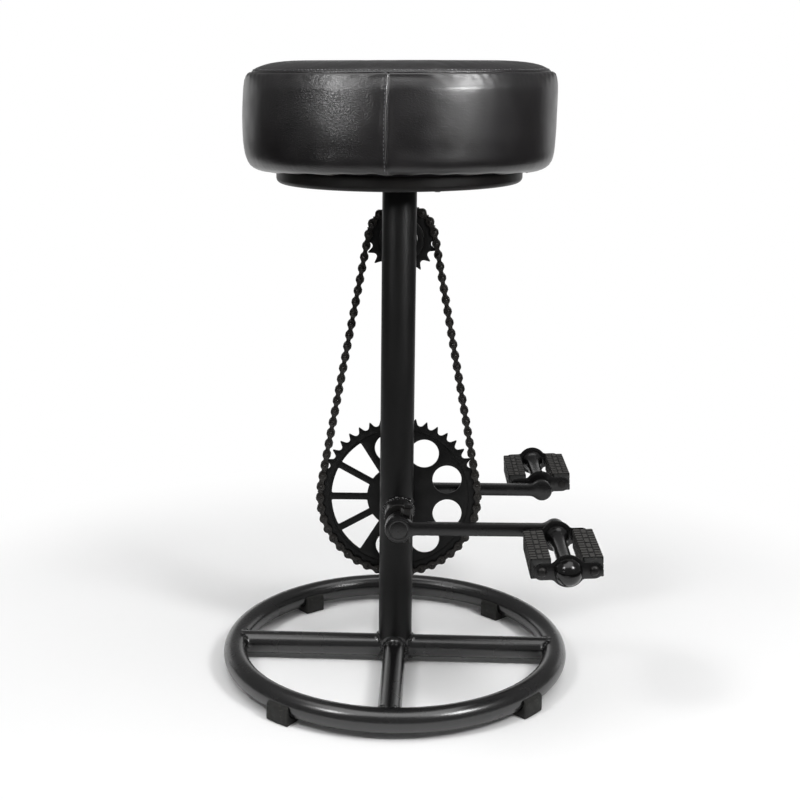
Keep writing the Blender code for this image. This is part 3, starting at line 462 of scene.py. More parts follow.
def joined(*parts):
    """One bmesh from several."""
    whole = bmesh.new()
    for part in parts:
        bmesh.ops.recalc_face_normals(part, faces=part.faces)
        mesh = bpy.data.meshes.new("part")
        part.to_mesh(mesh)
        part.free()
        whole.from_mesh(mesh)
        bpy.data.meshes.remove(mesh)
    return whole


def linked(name, data):
    """Object in the scene at the origin."""
    obj = bpy.data.objects.new(name, data)
    bpy.context.scene.collection.objects.link(obj)
    return obj


def new_object(name, bm, material=None, smooth=35):
    """Object from a bmesh, shaded smooth up to an angle in degrees."""
    bmesh.ops.recalc_face_normals(bm, faces=bm.faces)
    mesh = bpy.data.meshes.new(name)
    bm.to_mesh(mesh)
    bm.free()
    mesh.shade_smooth()
    mesh.set_sharp_from_angle(angle=math.radians(smooth))
    if material is not None:
        mesh.materials.append(material)
    return linked(name, mesh)


def settle(obj, finish, body, *nodes):
    """Let a finished piece ride on its body and stand for its solids."""
    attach(obj, body)
    if nodes:
        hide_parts(*nodes)
    return obj


def piece(name, bm, finish, body, *nodes, smooth=35):
    return settle(new_object(name, bm, coated(finish), smooth), finish, body, *nodes)


def turned(name, profile, sides, place, finish, body, *nodes, soft=0.0, smooth=35):
    """Piece turned from an outline whose corners may be rounded off."""
    outline = softened(profile, soft) if soft else profile
    return piece(name, lathe(outline, sides, place), finish, body, *nodes, smooth=smooth)


def bake(obj):
    """Put the mesh that an object's modifiers make in the place of its own."""
    graph = bpy.context.evaluated_depsgraph_get()
    mesh = bpy.data.meshes.new_from_object(obj.evaluated_get(graph))
    obj.modifiers.clear()
    obj.data = mesh
    return obj


# Geometry node trees

def geometry_tree(build, inputs, smooth=None):
    """Tree of one builder, made once: its inputs, what it adds, real meshes, their shading and material."""
    name = build.__name__
    if name in bpy.data.node_groups:
        return bpy.data.node_groups[name]
    tree = bpy.data.node_groups.new(name, "GeometryNodeTree")
    for label, kind, default in (("Geometry", "Geometry", None), *inputs, ("Material", "Material", None)):
        socket = tree.interface.new_socket(label, in_out="INPUT", socket_type=f"NodeSocket{kind}")
        if default is not None:
            socket.default_value = default
    tree.interface.new_socket("Geometry", in_out="OUTPUT", socket_type="NodeSocketGeometry")
    given = tree.nodes.new("NodeGroupInput")
    made = add_node(tree, "GeometryNodeRealizeInstances", {"Geometry": build(tree, given, given.outputs)})
    if smooth is not None:
        made = add_node(tree, "GeometryNodeSetShadeSmooth", {"Geometry": made, "Shade Smooth": smooth})
    made = add_node(tree, "GeometryNodeSetMaterial", {
        "Geometry": made, "Material": given.outputs["Material"]})
    add_node(tree, "NodeGroupOutput", {"Geometry": made})
    return tree


def beads_on_path(tree, path, values):
    """Beads along a path: sewn stitches, or the ripples of a weld."""
    curve = add_node(tree, "GeometryNodeMeshToCurve", {"Mesh": path})
    spots = add_node(tree, "GeometryNodeCurveToPoints", {"Curve": curve, "Length": values["Pitch"]},
                     mode="LENGTH")
    tangent = spots.outputs["Tangent"]
    along = add_node(tree, "FunctionNodeAlignRotationToVector", {"Vector": tangent}, axis="X")
    ball = add_node(tree, "GeometryNodeMeshUVSphere", {"Segments": 8, "Rings": 6, "Radius": 0.5})
    thick = values["Bead Thickness"]
    size = add_node(tree, "ShaderNodeCombineXYZ", {"X": values["Bead Length"], "Y": thick, "Z": thick})
    bead = add_node(tree, "GeometryNodeTransform", {"Geometry": ball, "Scale": size})
    least, most = [add_node(tree, MATH, {0: 1.0, 1: values["Unevenness"]}, operation=kind)
                   for kind in ("SUBTRACT", "ADD")]
    grow = add_node(tree, "FunctionNodeRandomValue", {2: least, 3: most, "Seed": values["Seed"]},
                    data_type="FLOAT")
    return add_node(tree, "GeometryNodeInstanceOnPoints", {
        "Points": spots, "Instance": bead, "Rotation": along, "Scale": grow})


def bars_on_points(tree, points, values):
    """Bars on points: the raised tread of a rubber block."""
    bar = add_node(tree, "GeometryNodeMeshCube", {"Size": values["Bar Size"]})
    spots = add_node(tree, "GeometryNodeMeshToPoints", {"Mesh": points})
    return add_node(tree, "GeometryNodeInstanceOnPoints", {
        "Points": spots, "Instance": bar, "Rotation": values["Turn"]})


def links_on_points(tree, points, values):
    """Chain links on points, wide and narrow in turn, each turned by the point's own angle."""
    angle = add_node(tree, "GeometryNodeInputNamedAttribute", {"Name": "turn"}, data_type="FLOAT")
    lean = add_node(tree, "ShaderNodeCombineXYZ", {"Y": angle})
    turn = add_node(tree, "FunctionNodeEulerToRotation", {"Euler": lean})
    spots = add_node(tree, "GeometryNodeMeshToPoints", {"Mesh": points})
    index = add_node(tree, "GeometryNodeInputIndex")
    parity = add_node(tree, MATH, {0: index, 1: 2.0}, operation="MODULO")
    other = add_node(tree, MATH, {0: 1.0, 1: parity}, operation="SUBTRACT")
    links = add_node(tree, "GeometryNodeJoinGeometry")
    for label, chosen in (("Wide Link", other), ("Narrow Link", parity)):
        shape = add_node(tree, "GeometryNodeObjectInfo", {"Object": values[label]})
        placed = add_node(tree, "GeometryNodeInstanceOnPoints", {
            "Points": spots, "Selection": chosen, "Instance": shape.outputs["Geometry"], "Rotation": turn})
        feed(tree, links, {0: placed})
    return links


def grown(name, mesh, tree, values):
    """Object that a geometry tree grows from a mesh, as a plain mesh."""
    obj = linked(name, mesh)
    modifier = obj.modifiers.new(tree.name, "NODES")
    modifier.node_group = tree
    ids = {item.name: item.identifier for item in tree.interface.items_tree if item.in_out == "INPUT"}
    for label, value in values.items():
        modifier[ids[label]] = value
    return bake(obj)


def wire(points, edges=()):
    """Mesh of loose points and edges."""
    mesh = bpy.data.meshes.new("wire")
    mesh.from_pydata([tuple(p) for p in points], edges, [])
    return mesh


def bead_piece(name, paths, pitch, length, thickness, uneven, seed, finish):
    """Beads along several paths on the stand; each path is its points and whether it closes."""
    verts = []
    edges = []
    for points, closed in paths:
        first = len(verts)
        verts += points
        edges += [(first + i, first + i + 1) for i in range(len(points) - 1)]
        if closed:
            edges.append((len(verts) - 1, first))
    tree = geometry_tree(beads_on_path, (
        ("Pitch", "Float", 0.004), ("Bead Length", "Float", 0.003), ("Bead Thickness", "Float", 0.001),
        ("Unevenness", "Float", 0.1), ("Seed", "Int", 1)), True)
    values = {"Pitch": pitch, "Bead Length": length, "Bead Thickness": thickness, "Unevenness": uneven,
              "Seed": seed, "Material": coated(finish)}
    return settle(grown(name, wire(verts, edges), tree, values), finish, "stand")


# Base and post

def on_ring(point):
    """Nearest point of the base ring's skin, and the skin's direction there."""
    flat = Vector((point.x - POST.x, point.y, 0.0)).normalized() * RING_RADIUS
    core = Vector((POST.x + flat.x, flat.y, RING_HEIGHT))
    out = (point - core).normalized()
    return core + out * (RING_TUBE / 2), out


def on_post(point):
    """Nearest point of the post's skin, and the skin's direction there."""
    out = Vector((point.x - POST.x, point.y, 0.0)).normalized()
    return Vector((POST.x, 0.0, point.z)) + out * POST_RADIUS, out


def post_joint(centre, radius, sides, side):
    """Closed line where a round bar along Y meets the post's front (-1) or back (1)."""
    line = []
    for x, z in circle(radius, sides, (centre.x, centre.z)):
        line.append((x, side * math.sqrt(POST_RADIUS ** 2 - (x - POST.x) ** 2), z))
    return line, True


def weld_line(point, skin, out, away, fillet):
    """One line of a weld fillet, from inside the other tube to this one's straight part, and its slope."""
    _, normal = skin(point)
    steep = math.sqrt(max(0.0, 1 - out.dot(normal) ** 2))
    reach = max(0.0003, fillet * steep)
    run = out - away * 0.35
    run -= normal * run.dot(normal)
    foot, foot_normal = skin(point + run.normalized() * reach)
    return [foot - foot_normal * 0.0015] + curved(foot, point, point + away * reach, 5), steep


def spoke_lines(turn, sides, fillet):
    """Lines along one spoke's skin from the post to the ring, with the two weld paths."""
    along = Vector((math.cos(turn), math.sin(turn), 0.0))
    across = Vector((-math.sin(turn), math.cos(turn), 0.0))
    start = Vector((POST.x, 0.0, SPOKE_HEIGHT))
    radius = SPOKE_TUBE / 2
    lines = []
    post_weld = []
    ring_weld = []
    for k in range(sides):
        angle = math.pi / 2 + math.tau * k / sides
        out = across * math.cos(angle) + Vector((0, 0, math.sin(angle)))
        wide = radius * math.cos(angle)
        rise = radius * math.sin(angle) + SPOKE_HEIGHT - RING_HEIGHT
        at_post = start + out * radius + along * math.sqrt(POST_RADIUS ** 2 - wide ** 2)
        inner = RING_RADIUS - math.sqrt(max((RING_TUBE / 2) ** 2 - rise ** 2, 1e-6))
        at_ring = start + out * radius + along * math.sqrt(inner ** 2 - wide ** 2)
        line, _ = weld_line(at_post, on_post, out, along, fillet)
        last, steep = weld_line(at_ring, on_ring, out, -along, fillet)
        # The fillet under the spoke ends where the post does, clear of the floor
        lines.append([Vector((p.x, p.y, max(p.z, POST_BOTTOM))) for p in line + last[::-1]])
        post_weld.append(at_post)
        if steep > 0.6:
            ring_weld.append(at_ring)
    return lines, [(post_weld, True), (ring_weld, False)]


def foot_outline():
    """Saddle under the ring tube: thin lips up its sides and rounded lower corners."""
    inner = RING_TUBE / 2 + GAP
    half = inner + FOOT_WALL
    lip = RING_HEIGHT - 0.002
    points = arc((0.0, RING_HEIGHT), inner, math.radians(12), math.radians(-192), 22)
    for side, radius, v, start, stop in (
            (-1, FOOT_LIP, lip, 120, 180), (-1, FOOT_CORNER, FOOT_CORNER, 180, 270),
            (1, FOOT_CORNER, FOOT_CORNER, 270, 360), (1, FOOT_LIP, lip, 0, 60)):
        points += arc((side * (half - radius), v), radius, math.radians(start), math.radians(stop), 5)
    return points


class STOOL_OT_base(bpy.types.Operator):
    """Ring, cross and post of the stand, with their welds"""
    bl_idname = "stool.base"
    bl_label = "Base and post"

    def execute(self, context):
        sizes = context.scene.stool_steel
        bead = sizes.bead
        tube = circle(RING_TUBE / 2, 48, (RING_RADIUS, RING_HEIGHT))
        turned("ring_base", tube, 288, about_z(POST), THICK, "stand", "base_ring")
        bar = sleeve(0, POST_RADIUS, POST_TOP, POST_BOTTOM)
        turned("post", bar, 128, about_z(POST), POWDER, "stand", "post_tube", soft=0.001)
        welds = []
        for number, name in enumerate(("right", "back", "left", "front")):
            lines, paths = spoke_lines(CROSS_TURN + number * math.pi / 2, 64, sizes.fillet)
            piece(f"{name}_cross_spoke", skin_of(lines), THICK, "stand", f"{name}_spoke")
            welds += paths
        bead_piece("base_welds", welds, bead * 0.7, bead, bead, 0.3, 3, GLOSS)
        joints = [post_joint(CRANK, SHELL_RADIUS, 48, side) for side in (-1, 1)]
        joints.append(post_joint(SPROCKET, STUB_RADIUS, 36, 1))
        joints.append(([(x, y, POST_TOP - 0.0008) for x, y in circle(POST_RADIUS, 72, POST)], True))
        bead_piece("bracket_welds", joints, bead * 0.75, bead, bead * 1.25, 0.35, 7, GLOSS)
        return {"FINISHED"}


class STOOL_OT_feet(bpy.types.Operator):
    """Rubber saddles clipped under the ring"""
    bl_idname = "stool.feet"
    bl_label = "Feet"

    def execute(self, context):
        for name, degrees in FOOT_TURNS.items():
            def place(u, v, run, turn=math.radians(degrees)):
                return about_z(POST)(RING_RADIUS + u, v, turn + run / RING_RADIUS)
            saddle = plate([foot_outline()], -FOOT_LENGTH / 2, FOOT_LENGTH / 2, 0.0008, place, 8)
            piece(f"{name}_rubber_foot", saddle, FOOT_RUBBER, "stand", f"{name}_foot")
        return {"FINISHED"}


# Seat

# The cushion's outline in millimetres: radii over the crown, then radii and heights down the band
CROWN = [0, 18, 36, 54, 72, 88, 102, 113, 122, 130, 137, 143, 147.5, 150.5, 152.5, 154, 155.1, 155.9]
BAND = [(155.9, 655.2), (155.4, 654.9), (156.4, 655.0), (157.6, 654.9), (158.9, 654.4), (160.1, 653.6),
        (161.1, 652.5), (162.0, 650.9), (162.6, 649.0), (163.2, 646.6), (163.7, 643.8), (163.9, 642),
        (164.1, 640.4), (164.2, 639), (164.4, 635), (164.6, 628), (164.7, 618), (164.7, 608), (164.6, 598),
        (164.3, 590), (164.0, 584), (163.4, 577.5), (162.7, 572), (161.7, 567.5), (160.1, 563),
        (157.5, 558.9), (154.3, 556.2), (150.4, 554.2), (145, 552.6), (140, 551.8), (136.6, 551.5),
        (134.4, 551.4)]
INSIDE = [(133.6, 551.8), (133.5, 556.15), (0, 556.15)]
STITCH_ROW = CROWN.index(154)
SEAM_ROW = len(CROWN) + 1
HEM_ROW = len(CROWN) + len(BAND) - 1
LOOSE_ROWS = slice(1, HEM_ROW - 4)
UNDERSIDE = HEM_ROW + 2


def cushion_profile():
    """Cushion outline in metres, from the crown's middle down to its flat underside, and its directions."""
    rise = [(r, SEAM_HEIGHT * 1000 + 11.8 * (1 - (r / 156.5) ** 8.5) ** 0.75) for r in CROWN]
    points = np.array([(r / 1000, z / 1000) for r, z in rise + BAND + INSIDE])
    ahead = np.roll(points, -1, axis=0) - np.roll(points, 1, axis=0)
    ahead[0] = (1.0, 0.0)
    normals = np.stack([-ahead[:, 1], ahead[:, 0]], axis=1)
    normals /= np.maximum(np.linalg.norm(normals, axis=1, keepdims=True), 1e-9)
    return points, normals


def cushion_angles():
    """Angles round the cushion, closer together at the two sewn seams."""
    offsets = [k * 0.00055 / SEAT_REACH for k in range(-14, 15)]
    angles = [SEAM_TURN + half + offset for half in SEAMS for offset in offsets]
    for half in SEAMS:
        low = SEAM_TURN + half + offsets[-1]
        high = SEAM_TURN + half + math.pi + offsets[0]
        angles += [low + (high - low) * k / 214 for k in range(1, 214)]
    return np.array(sorted(angles))


def puffed_form(profile):
    """Slightly smaller cushion blown up as cloth that is held at its sewn lines."""
    shrink = 0.003
    small = [(max(0.0, r - shrink) if r else 0.0, z - shrink if z > 0.6 else z) for r, z in profile]
    form = new_object("cushion_form", lathe(small, 128, about_z(POST)))
    remesh = form.modifiers.new("even", "REMESH")
    remesh.mode = "VOXEL"
    remesh.voxel_size = 0.005
    bake(form)
    rest = np.array([v.co for v in form.data.vertices])
    reach = np.hypot(rest[:, 0] - POST.x, rest[:, 1])
    from_seam = np.hypot(reach - SEAM_RADIUS + shrink, rest[:, 2] - SEAM_HEIGHT + shrink)
    sewn = (rest[:, 2] < 0.5585) | (from_seam < 0.006)
    group = form.vertex_groups.new(name="sewn")
    group.add([int(i) for i in np.nonzero(sewn)[0]], 1.0, "REPLACE")
    cloth = form.modifiers.new("cloth", "CLOTH").settings
    cloth.vertex_group_mass = "sewn"
    cloth.use_pressure = True
    cloth.uniform_pressure_force = 4.0
    cloth.effector_weights.gravity = 0.0
    scene = bpy.context.scene
    for number in range(1, 21):
        scene.frame_set(number)
    bake(form)
    scene.frame_set(1)
    step = np.array([v.co for v in form.data.vertices]) - rest
    length = np.linalg.norm(step, axis=1, keepdims=True)
    blown = rest + step * np.minimum(1.0, 0.022 / np.maximum(length, 1e-9))
    tree = BVHTree.FromPolygons([tuple(v) for v in blown], [tuple(p.vertices) for p in form.data.polygons])
    bpy.data.objects.remove(form)
    return tree


def cushion_grid():
    """Points of the cushion's skin by angle and outline row, with the angles."""
    profile, normals = cushion_profile()
    angles = cushion_angles()
    radius, height = profile.T
    rows = len(profile)
    cos, sin = np.cos(angles)[:, None], np.sin(angles)[:, None]
    shift = np.zeros((len(angles), rows))
    tree = puffed_form(profile.tolist())
    for i, angle in enumerate(angles):
        turn = np.array((math.cos(angle), math.sin(angle), 1.0))
        for j in range(LOOSE_ROWS.start, LOOSE_ROWS.stop):
            point = Vector((radius[j], radius[j], height[j]) * turn + (POST.x, 0.0, 0.0))
            out = Vector((normals[j, 0], normals[j, 0], normals[j, 1]) * turn)
            found = tree.find_nearest(point, 0.03)[0]
            if found is not None:
                shift[i, j] = (found - point).dot(out)
    shift[:, LOOSE_ROWS] -= shift[:, LOOSE_ROWS].mean(axis=0)
    shift = np.clip(shift, -0.0012, 0.0012)
    for i, angle in enumerate(angles):
        for j in range(1, HEM_ROW):
            spot = Vector((radius[j] * math.cos(angle), radius[j] * math.sin(angle), height[j]))
            shift[i, j] += 0.0004 * noise.noise(spot * 22.0) + 0.0001 * noise.noise(spot * 70.0)
    band = np.arange(rows)
    on_band = (band > SEAM_ROW) & (band <= HEM_ROW)
    # A groove and two soft ridges along each side seam
    for half in SEAMS:
        away = (angles - SEAM_TURN - half + math.pi) % math.tau - math.pi
        run = away[:, None] * radius
        groove = -0.0005 * np.exp(-(run / 0.0005) ** 2)
        groove += 0.0003 * np.exp(-((np.abs(run) - 0.0030) / 0.0022) ** 2)
        shift += np.where(on_band, groove, 0.0)
    shift[:, HEM_ROW - 1:] *= 0.3
    reach = radius + shift * normals[:, 0]
    # The hem waves, and it is drawn up in front and behind
    wave = np.sin(27 * angles + 2.3 * np.sin(4 * angles)) + 0.6 * np.sin(13 * angles + 0.8)
    fall = np.clip(1 - np.abs(band - HEM_ROW - 0.5) / 5.0, 0.0, 1.0)
    low = np.clip((0.600 - height) / 0.046, 0.0, 1.0)
    fall[UNDERSIDE:] = 0.0
    low[UNDERSIDE:] = 0.0
    tall = height + shift * normals[:, 1] + 0.0009 * wave[:, None] * fall
    tall = tall + 0.009 * sin ** 2 / (np.abs(sin) + 0.25) * low
    # The seat sways and leans to one side, and its outline is softer in front and behind
    sway = np.interp(height, (0.556, 0.584, 0.608, 0.646), (0.0, -0.0012, -0.0012, 0.0))
    tall = tall + np.where(band < UNDERSIDE, SEAT_LEAN, 0.0) * reach * cos
    slack = np.interp(height, (0.640, 0.6425, 0.6445, 0.6515, 0.6549),
                      (0.0002, 0.0005, 0.0012, 0.0027, 0.0003))
    slack -= np.interp(height, (0.5514, 0.5526, 0.5562, 0.5589, 0.567, 0.577),
                       (0.006, 0.010, 0.006, 0.004, 0.0015, 0))
    reach = reach - np.where(on_band, slack, 0.0) * sin ** 2
    return np.stack([POST.x + sway + reach * cos, reach * sin, tall], axis=2), angles


def stitch_line(grid, columns, rows):
    """Points just above the cushion's skin."""
    normals = cushion_profile()[1]
    line = []
    for column in columns:
        for row in rows:
            point = grid[column, row]
            flat = Vector((point[0] - POST.x, point[1], 0.0)).normalized()
            lift = flat * normals[row, 0] + Vector((0, 0, normals[row, 1]))
            line.append(Vector(point) + lift * THREAD_LIFT)
    return line


def seat_spot(turn, height):
    """Point of the seat's side at an angle from the front seam."""
    angle = SEAM_TURN + turn
    return (POST.x + SEAT_REACH * math.cos(angle), SEAT_REACH * math.sin(angle), height)


class STOOL_OT_seat(bpy.types.Operator):
    """Leather cushion on its pan, with its seams and stitches"""
    bl_idname = "stool.seat"
    bl_label = "Seat"

    def execute(self, context):
        grid, angles = cushion_grid()
        self.cushion(grid)
        self.stitches(grid, angles, context.scene.stool_seat)
        self.pan()
        return {"FINISHED"}

    def cushion(self, grid):
        """Leather skin with a raw edge at its hem."""
        pulls = ((seat_spot(-0.28, 0.622), 0.030, 0.115, 1.0), (seat_spot(2.7, 0.615), 0.020, 0.080, 0.7))
        wrinkles = ((seat_spot(0.50, 0.612), 0.025, 0.100, 0.6),
                    (seat_spot(-0.15, 0.600), 0.010, 0.050, 0.35),
                    (seat_spot(-1.9, 0.612), 0.020, 0.090, 0.7))
        leather = coated(LEATHER, lambda tree, coords: creases(tree, coords, pulls, wrinkles))
        count, rows = grid.shape[:2]
        bm = bmesh.new()
        skin = []
        for j in range(rows):
            if j in (0, rows - 1):
                skin.append([bm.verts.new(grid[:, j].mean(axis=0))] * count)
            else:
                skin.append([bm.verts.new(p) for p in grid[:, j]])
        for j in range(rows - 1):
            for i in range(count):
                k = (i + 1) % count
                corners = list(dict.fromkeys((skin[j][i], skin[j][k], skin[j + 1][k], skin[j + 1][i])))
                bm.faces.new(corners).material_index = int(HEM_ROW - 1 <= j <= HEM_ROW)
        cushion = new_object("leather_cushion", bm, leather, 60)
        cushion.data.materials.append(coated(RAW_EDGE))
        settle(cushion, LEATHER, "stand", "seat_foam", "seat_top_panel", "seat_right_band", "seat_left_band")

    def stitches(self, grid, angles, sizes):
        """Stitches round the crown, and a row beside each side seam."""
        def sew(name, paths, uneven, seed):
            bead_piece(name, paths, sizes.stitch_pitch, sizes.stitch_length, sizes.thread, uneven, seed,
                       THREAD)

        sew("top_seam_stitches", [(stitch_line(grid, range(len(angles)), [STITCH_ROW]), True)], 0.06, 11)
        sides = []
        for half in SEAMS:
            target = SEAM_TURN + half - sizes.seam_stitch_offset / SEAT_REACH
            away = np.abs((angles - target + math.pi) % math.tau - math.pi)
            sides.append((stitch_line(grid, [int(away.argmin())], range(SEAM_ROW + 3, HEM_ROW - 3)), False))
        sew("side_seam_stitches", sides, 0.08, 12)

    def pan(self):
        """Round disc with a full lower edge, leaning with the cushion."""
        def leaning(radius, height, angle):
            reach = radius * math.cos(angle)
            return (POST.x - 0.0005 + reach, radius * math.sin(angle), height + SEAT_LEAN * reach)

        low = PAN_LOW - 0.0002
        disc = [(0, PAN_HIGH), (PAN_RADIUS - 0.001, PAN_HIGH), (PAN_RADIUS, PAN_HIGH - 0.001)]
        disc += arc((PAN_RADIUS - PAN_ROUND, low + PAN_ROUND), PAN_ROUND, 0.0, -math.pi / 2, 12) + [(0, low)]
        turned("round_seat_pan", disc, 192, leaning, WOOD, "stand", "seat_pan", smooth=30)


# Chain drive

def pitch_radius(teeth):
    return CHAIN_PITCH / 2 / math.sin(math.pi / teeth)


CHAIN_LEAN = math.asin((pitch_radius(CHAINRING_TEETH) - pitch_radius(SPROCKET_TEETH)) / AXIS_DISTANCE)
STRAND_LINKS = AXIS_DISTANCE * math.cos(CHAIN_LEAN) / CHAIN_PITCH
SPROCKET_LINKS = SPROCKET_TEETH * (math.pi - 2 * CHAIN_LEAN) / math.tau


def chain_at(link):
    """Place of a chain pin from the chainring's axis: up one strand, over the sprocket, down and round."""
    link %= CHAIN_LINKS
    across = Vector((math.cos(CHAIN_LEAN), math.sin(CHAIN_LEAN)))
    top = Vector((0, AXIS_DISTANCE))
    if link < STRAND_LINKS:
        return across * pitch_radius(CHAINRING_TEETH) + Vector((-across.y, across.x)) * link * CHAIN_PITCH
    link -= STRAND_LINKS
    if link < SPROCKET_LINKS:
        angle = CHAIN_LEAN + link * math.tau / SPROCKET_TEETH
        return top + Vector((math.cos(angle), math.sin(angle))) * pitch_radius(SPROCKET_TEETH)
    link -= SPROCKET_LINKS
    if link < STRAND_LINKS:
        out = Vector((-across.x, across.y))
        return top + out * pitch_radius(SPROCKET_TEETH) + Vector((-out.y, out.x)) * link * CHAIN_PITCH
    angle = math.pi - CHAIN_LEAN + (link - STRAND_LINKS) * math.tau / CHAINRING_TEETH
    return Vector((math.cos(angle), math.sin(angle))) * pitch_radius(CHAINRING_TEETH)


def link_outline():
    """Side plate with two round ends and a hollow waist; u runs from pin to pin."""
    half = CHAIN_PITCH / 2
    hollow = (half ** 2 + LINK_WAIST ** 2 - LINK_END ** 2) / (2 * (LINK_END - LINK_WAIST))
    high = LINK_WAIST + hollow
    turn = math.atan2(high, -half)
    points = arc((half, 0.0), LINK_END, -turn, turn, 10)
    points += arc((0.0, high), hollow, turn - math.pi, -turn, 4)[1:-1]
    points += arc((-half, 0.0), LINK_END, math.pi - turn, math.pi + turn, 10)
    points += arc((0.0, -high), hollow, turn, math.pi - turn, 4)[1:-1]
    return points


def link_object(name, low, high, pin, sides):
    """One chain link: two side plates between two depths, and two rollers or riveted pins of this outline."""
    middle = Vector((0.0, 0.0, 0.0))
    half = Vector((CHAIN_PITCH / 2, 0.0, 0.0))
    outline = pin + [(radius, -depth) for radius, depth in reversed(pin)]
    parts = [plate([link_outline()], side * low, side * high, 0.0003, flat_xz(middle)) for side in (-1, 1)]
    parts += [lathe(outline, sides, about_y(end)) for end in (-half, half)]
    return new_object(name, joined(*parts))


class STOOL_OT_chain(bpy.types.Operator):
    """Roller chain, link by link round both wheels"""
    bl_idname = "stool.chain"
    bl_label = "Chain"

    def execute(self, context):
        places = []
        turns = []
        for link in range(CHAIN_LINKS):
            first = chain_at(CHAIN_PHASE + link)
            last = chain_at(CHAIN_PHASE + link + 1)
            middle = (first + last) / 2
            run = last - first
            places.append((CRANK.x + middle.x, CHAIN_LINE, CRANK.z + middle.y))
            turns.append(-math.atan2(run.y, run.x))
        mesh = wire(places)
        mesh.attributes.new("turn", "FLOAT", "POINT").data.foreach_set("value", turns)
        rivet = [(0, 0.0052), (0.0011, 0.0050), (0.0018, 0.0046), (0.0021, 0.0040)]
        roller = [(0, 0.00175), (0.0036, 0.00175), (0.00385, 0.0015)]
        wide = link_object("wide_link", 0.0030, 0.0041, rivet, 12)
        narrow = link_object("narrow_link", 0.00185, 0.0029, roller, 14)
        tree = geometry_tree(links_on_points, (
            ("Wide Link", "Object", None), ("Narrow Link", "Object", None)))
        values = {"Wide Link": wide, "Narrow Link": narrow, "Material": coated(CHAIN_STEEL)}
        chain = grown("roller_chain", mesh, tree, values)
        bpy.data.objects.remove(wide)
        bpy.data.objects.remove(narrow)
        settle(chain, CHAIN_STEEL, "stand", "chain")
        return {"FINISHED"}


def toothed(teeth, first_gap):
    """Outline of a chain wheel with a roller seat at first_gap."""
    radius = pitch_radius(teeth)
    turns = np.radians(np.linspace(-72, 72, 9))
    seat = [(ROLLER_SEAT * math.sin(a), -ROLLER_SEAT * math.cos(a)) for a in turns]
    rise = [(0.0044, -0.0003), (0.0051, 0.0014), (CHAIN_PITCH / 2 - 0.00035, 0.0030)]
    fall = [(CHAIN_PITCH - u, v) for u, v in reversed(rise)]
    points = []
    for tooth in range(teeth):
        gap = first_gap + tooth * math.tau / teeth
        for u, v in seat + rise + fall:
            angle = gap + u / radius
            points.append(((radius + v) * math.cos(angle), (radius + v) * math.sin(angle)))
    return points


def sector_window(start, stop):
    """Opening between two radial bars of even width, with rounded corners."""
    corners = []
    for radius, ends in ((0.036, (start, stop)), (0.076, (stop, start))):
        bar = math.copysign(0.00375 / radius, ends[1] - ends[0])
        corners += arc((0, 0), radius, ends[0] + bar, ends[1] - bar, 10)
    return softened(corners, 0.002)


class STOOL_OT_wheels(bpy.types.Operator):
    """Chainring and freewheel sprocket"""
    bl_idname = "stool.wheels"
    bl_label = "Chain wheels"

    def execute(self, context):
        past = CHAIN_PHASE - 2 * STRAND_LINKS - SPROCKET_LINKS
        under = math.pi - CHAIN_LEAN + past * math.tau / CHAINRING_TEETH
        rim = plate([toothed(CHAINRING_TEETH, under), circle(0.0789, 160)], TOOTH_NEAR, TOOTH_FAR, 0.0004,
                    flat_xz(CRANK))
        loops = [circle(0.0778, 160), circle(0.0133, 64)]
        for number in range(WEB_HOLES):
            angle = math.radians(101 - 40 * number)
            centre = (WEB_HOLE_REACH * math.cos(angle), WEB_HOLE_REACH * math.sin(angle))
            loops.append(circle(WEB_HOLE_RADIUS, 64, centre))
        width = math.radians(116) / WEB_WINDOWS
        for number in range(WEB_WINDOWS):
            start = math.radians(122) + number * width
            loops.append(sector_window(start, start + width))
        web = plate(loops, TOOTH_NEAR, TOOTH_FAR, 0.0003, flat_xz(CRANK))
        groove = lathe(sleeve(0.0772, 0.0795, TOOTH_NEAR + 0.0008, TOOTH_FAR - 0.0008), 160, about_y(CRANK))
        piece("toothed_chainring", joined(rim, web, groove), POWDER, "crankset", "chainring")

        over = CHAIN_LEAN + (CHAIN_PHASE - STRAND_LINKS) * math.tau / SPROCKET_TEETH
        teeth = plate([toothed(SPROCKET_TEETH, over), circle(0.0240, 64)], TOOTH_NEAR, TOOTH_FAR, 0.0003,
                      flat_xz(SPROCKET))
        hub = sleeve(0.0173, 0.0245, CHAIN_LINE - 0.0045, CHAIN_LINE + 0.0045)
        ring = lathe(softened(hub, 0.0007), 96, about_y(SPROCKET))
        piece("toothed_sprocket", joined(teeth, ring), POWDER, "freewheel", "sprocket")
        return {"FINISHED"}


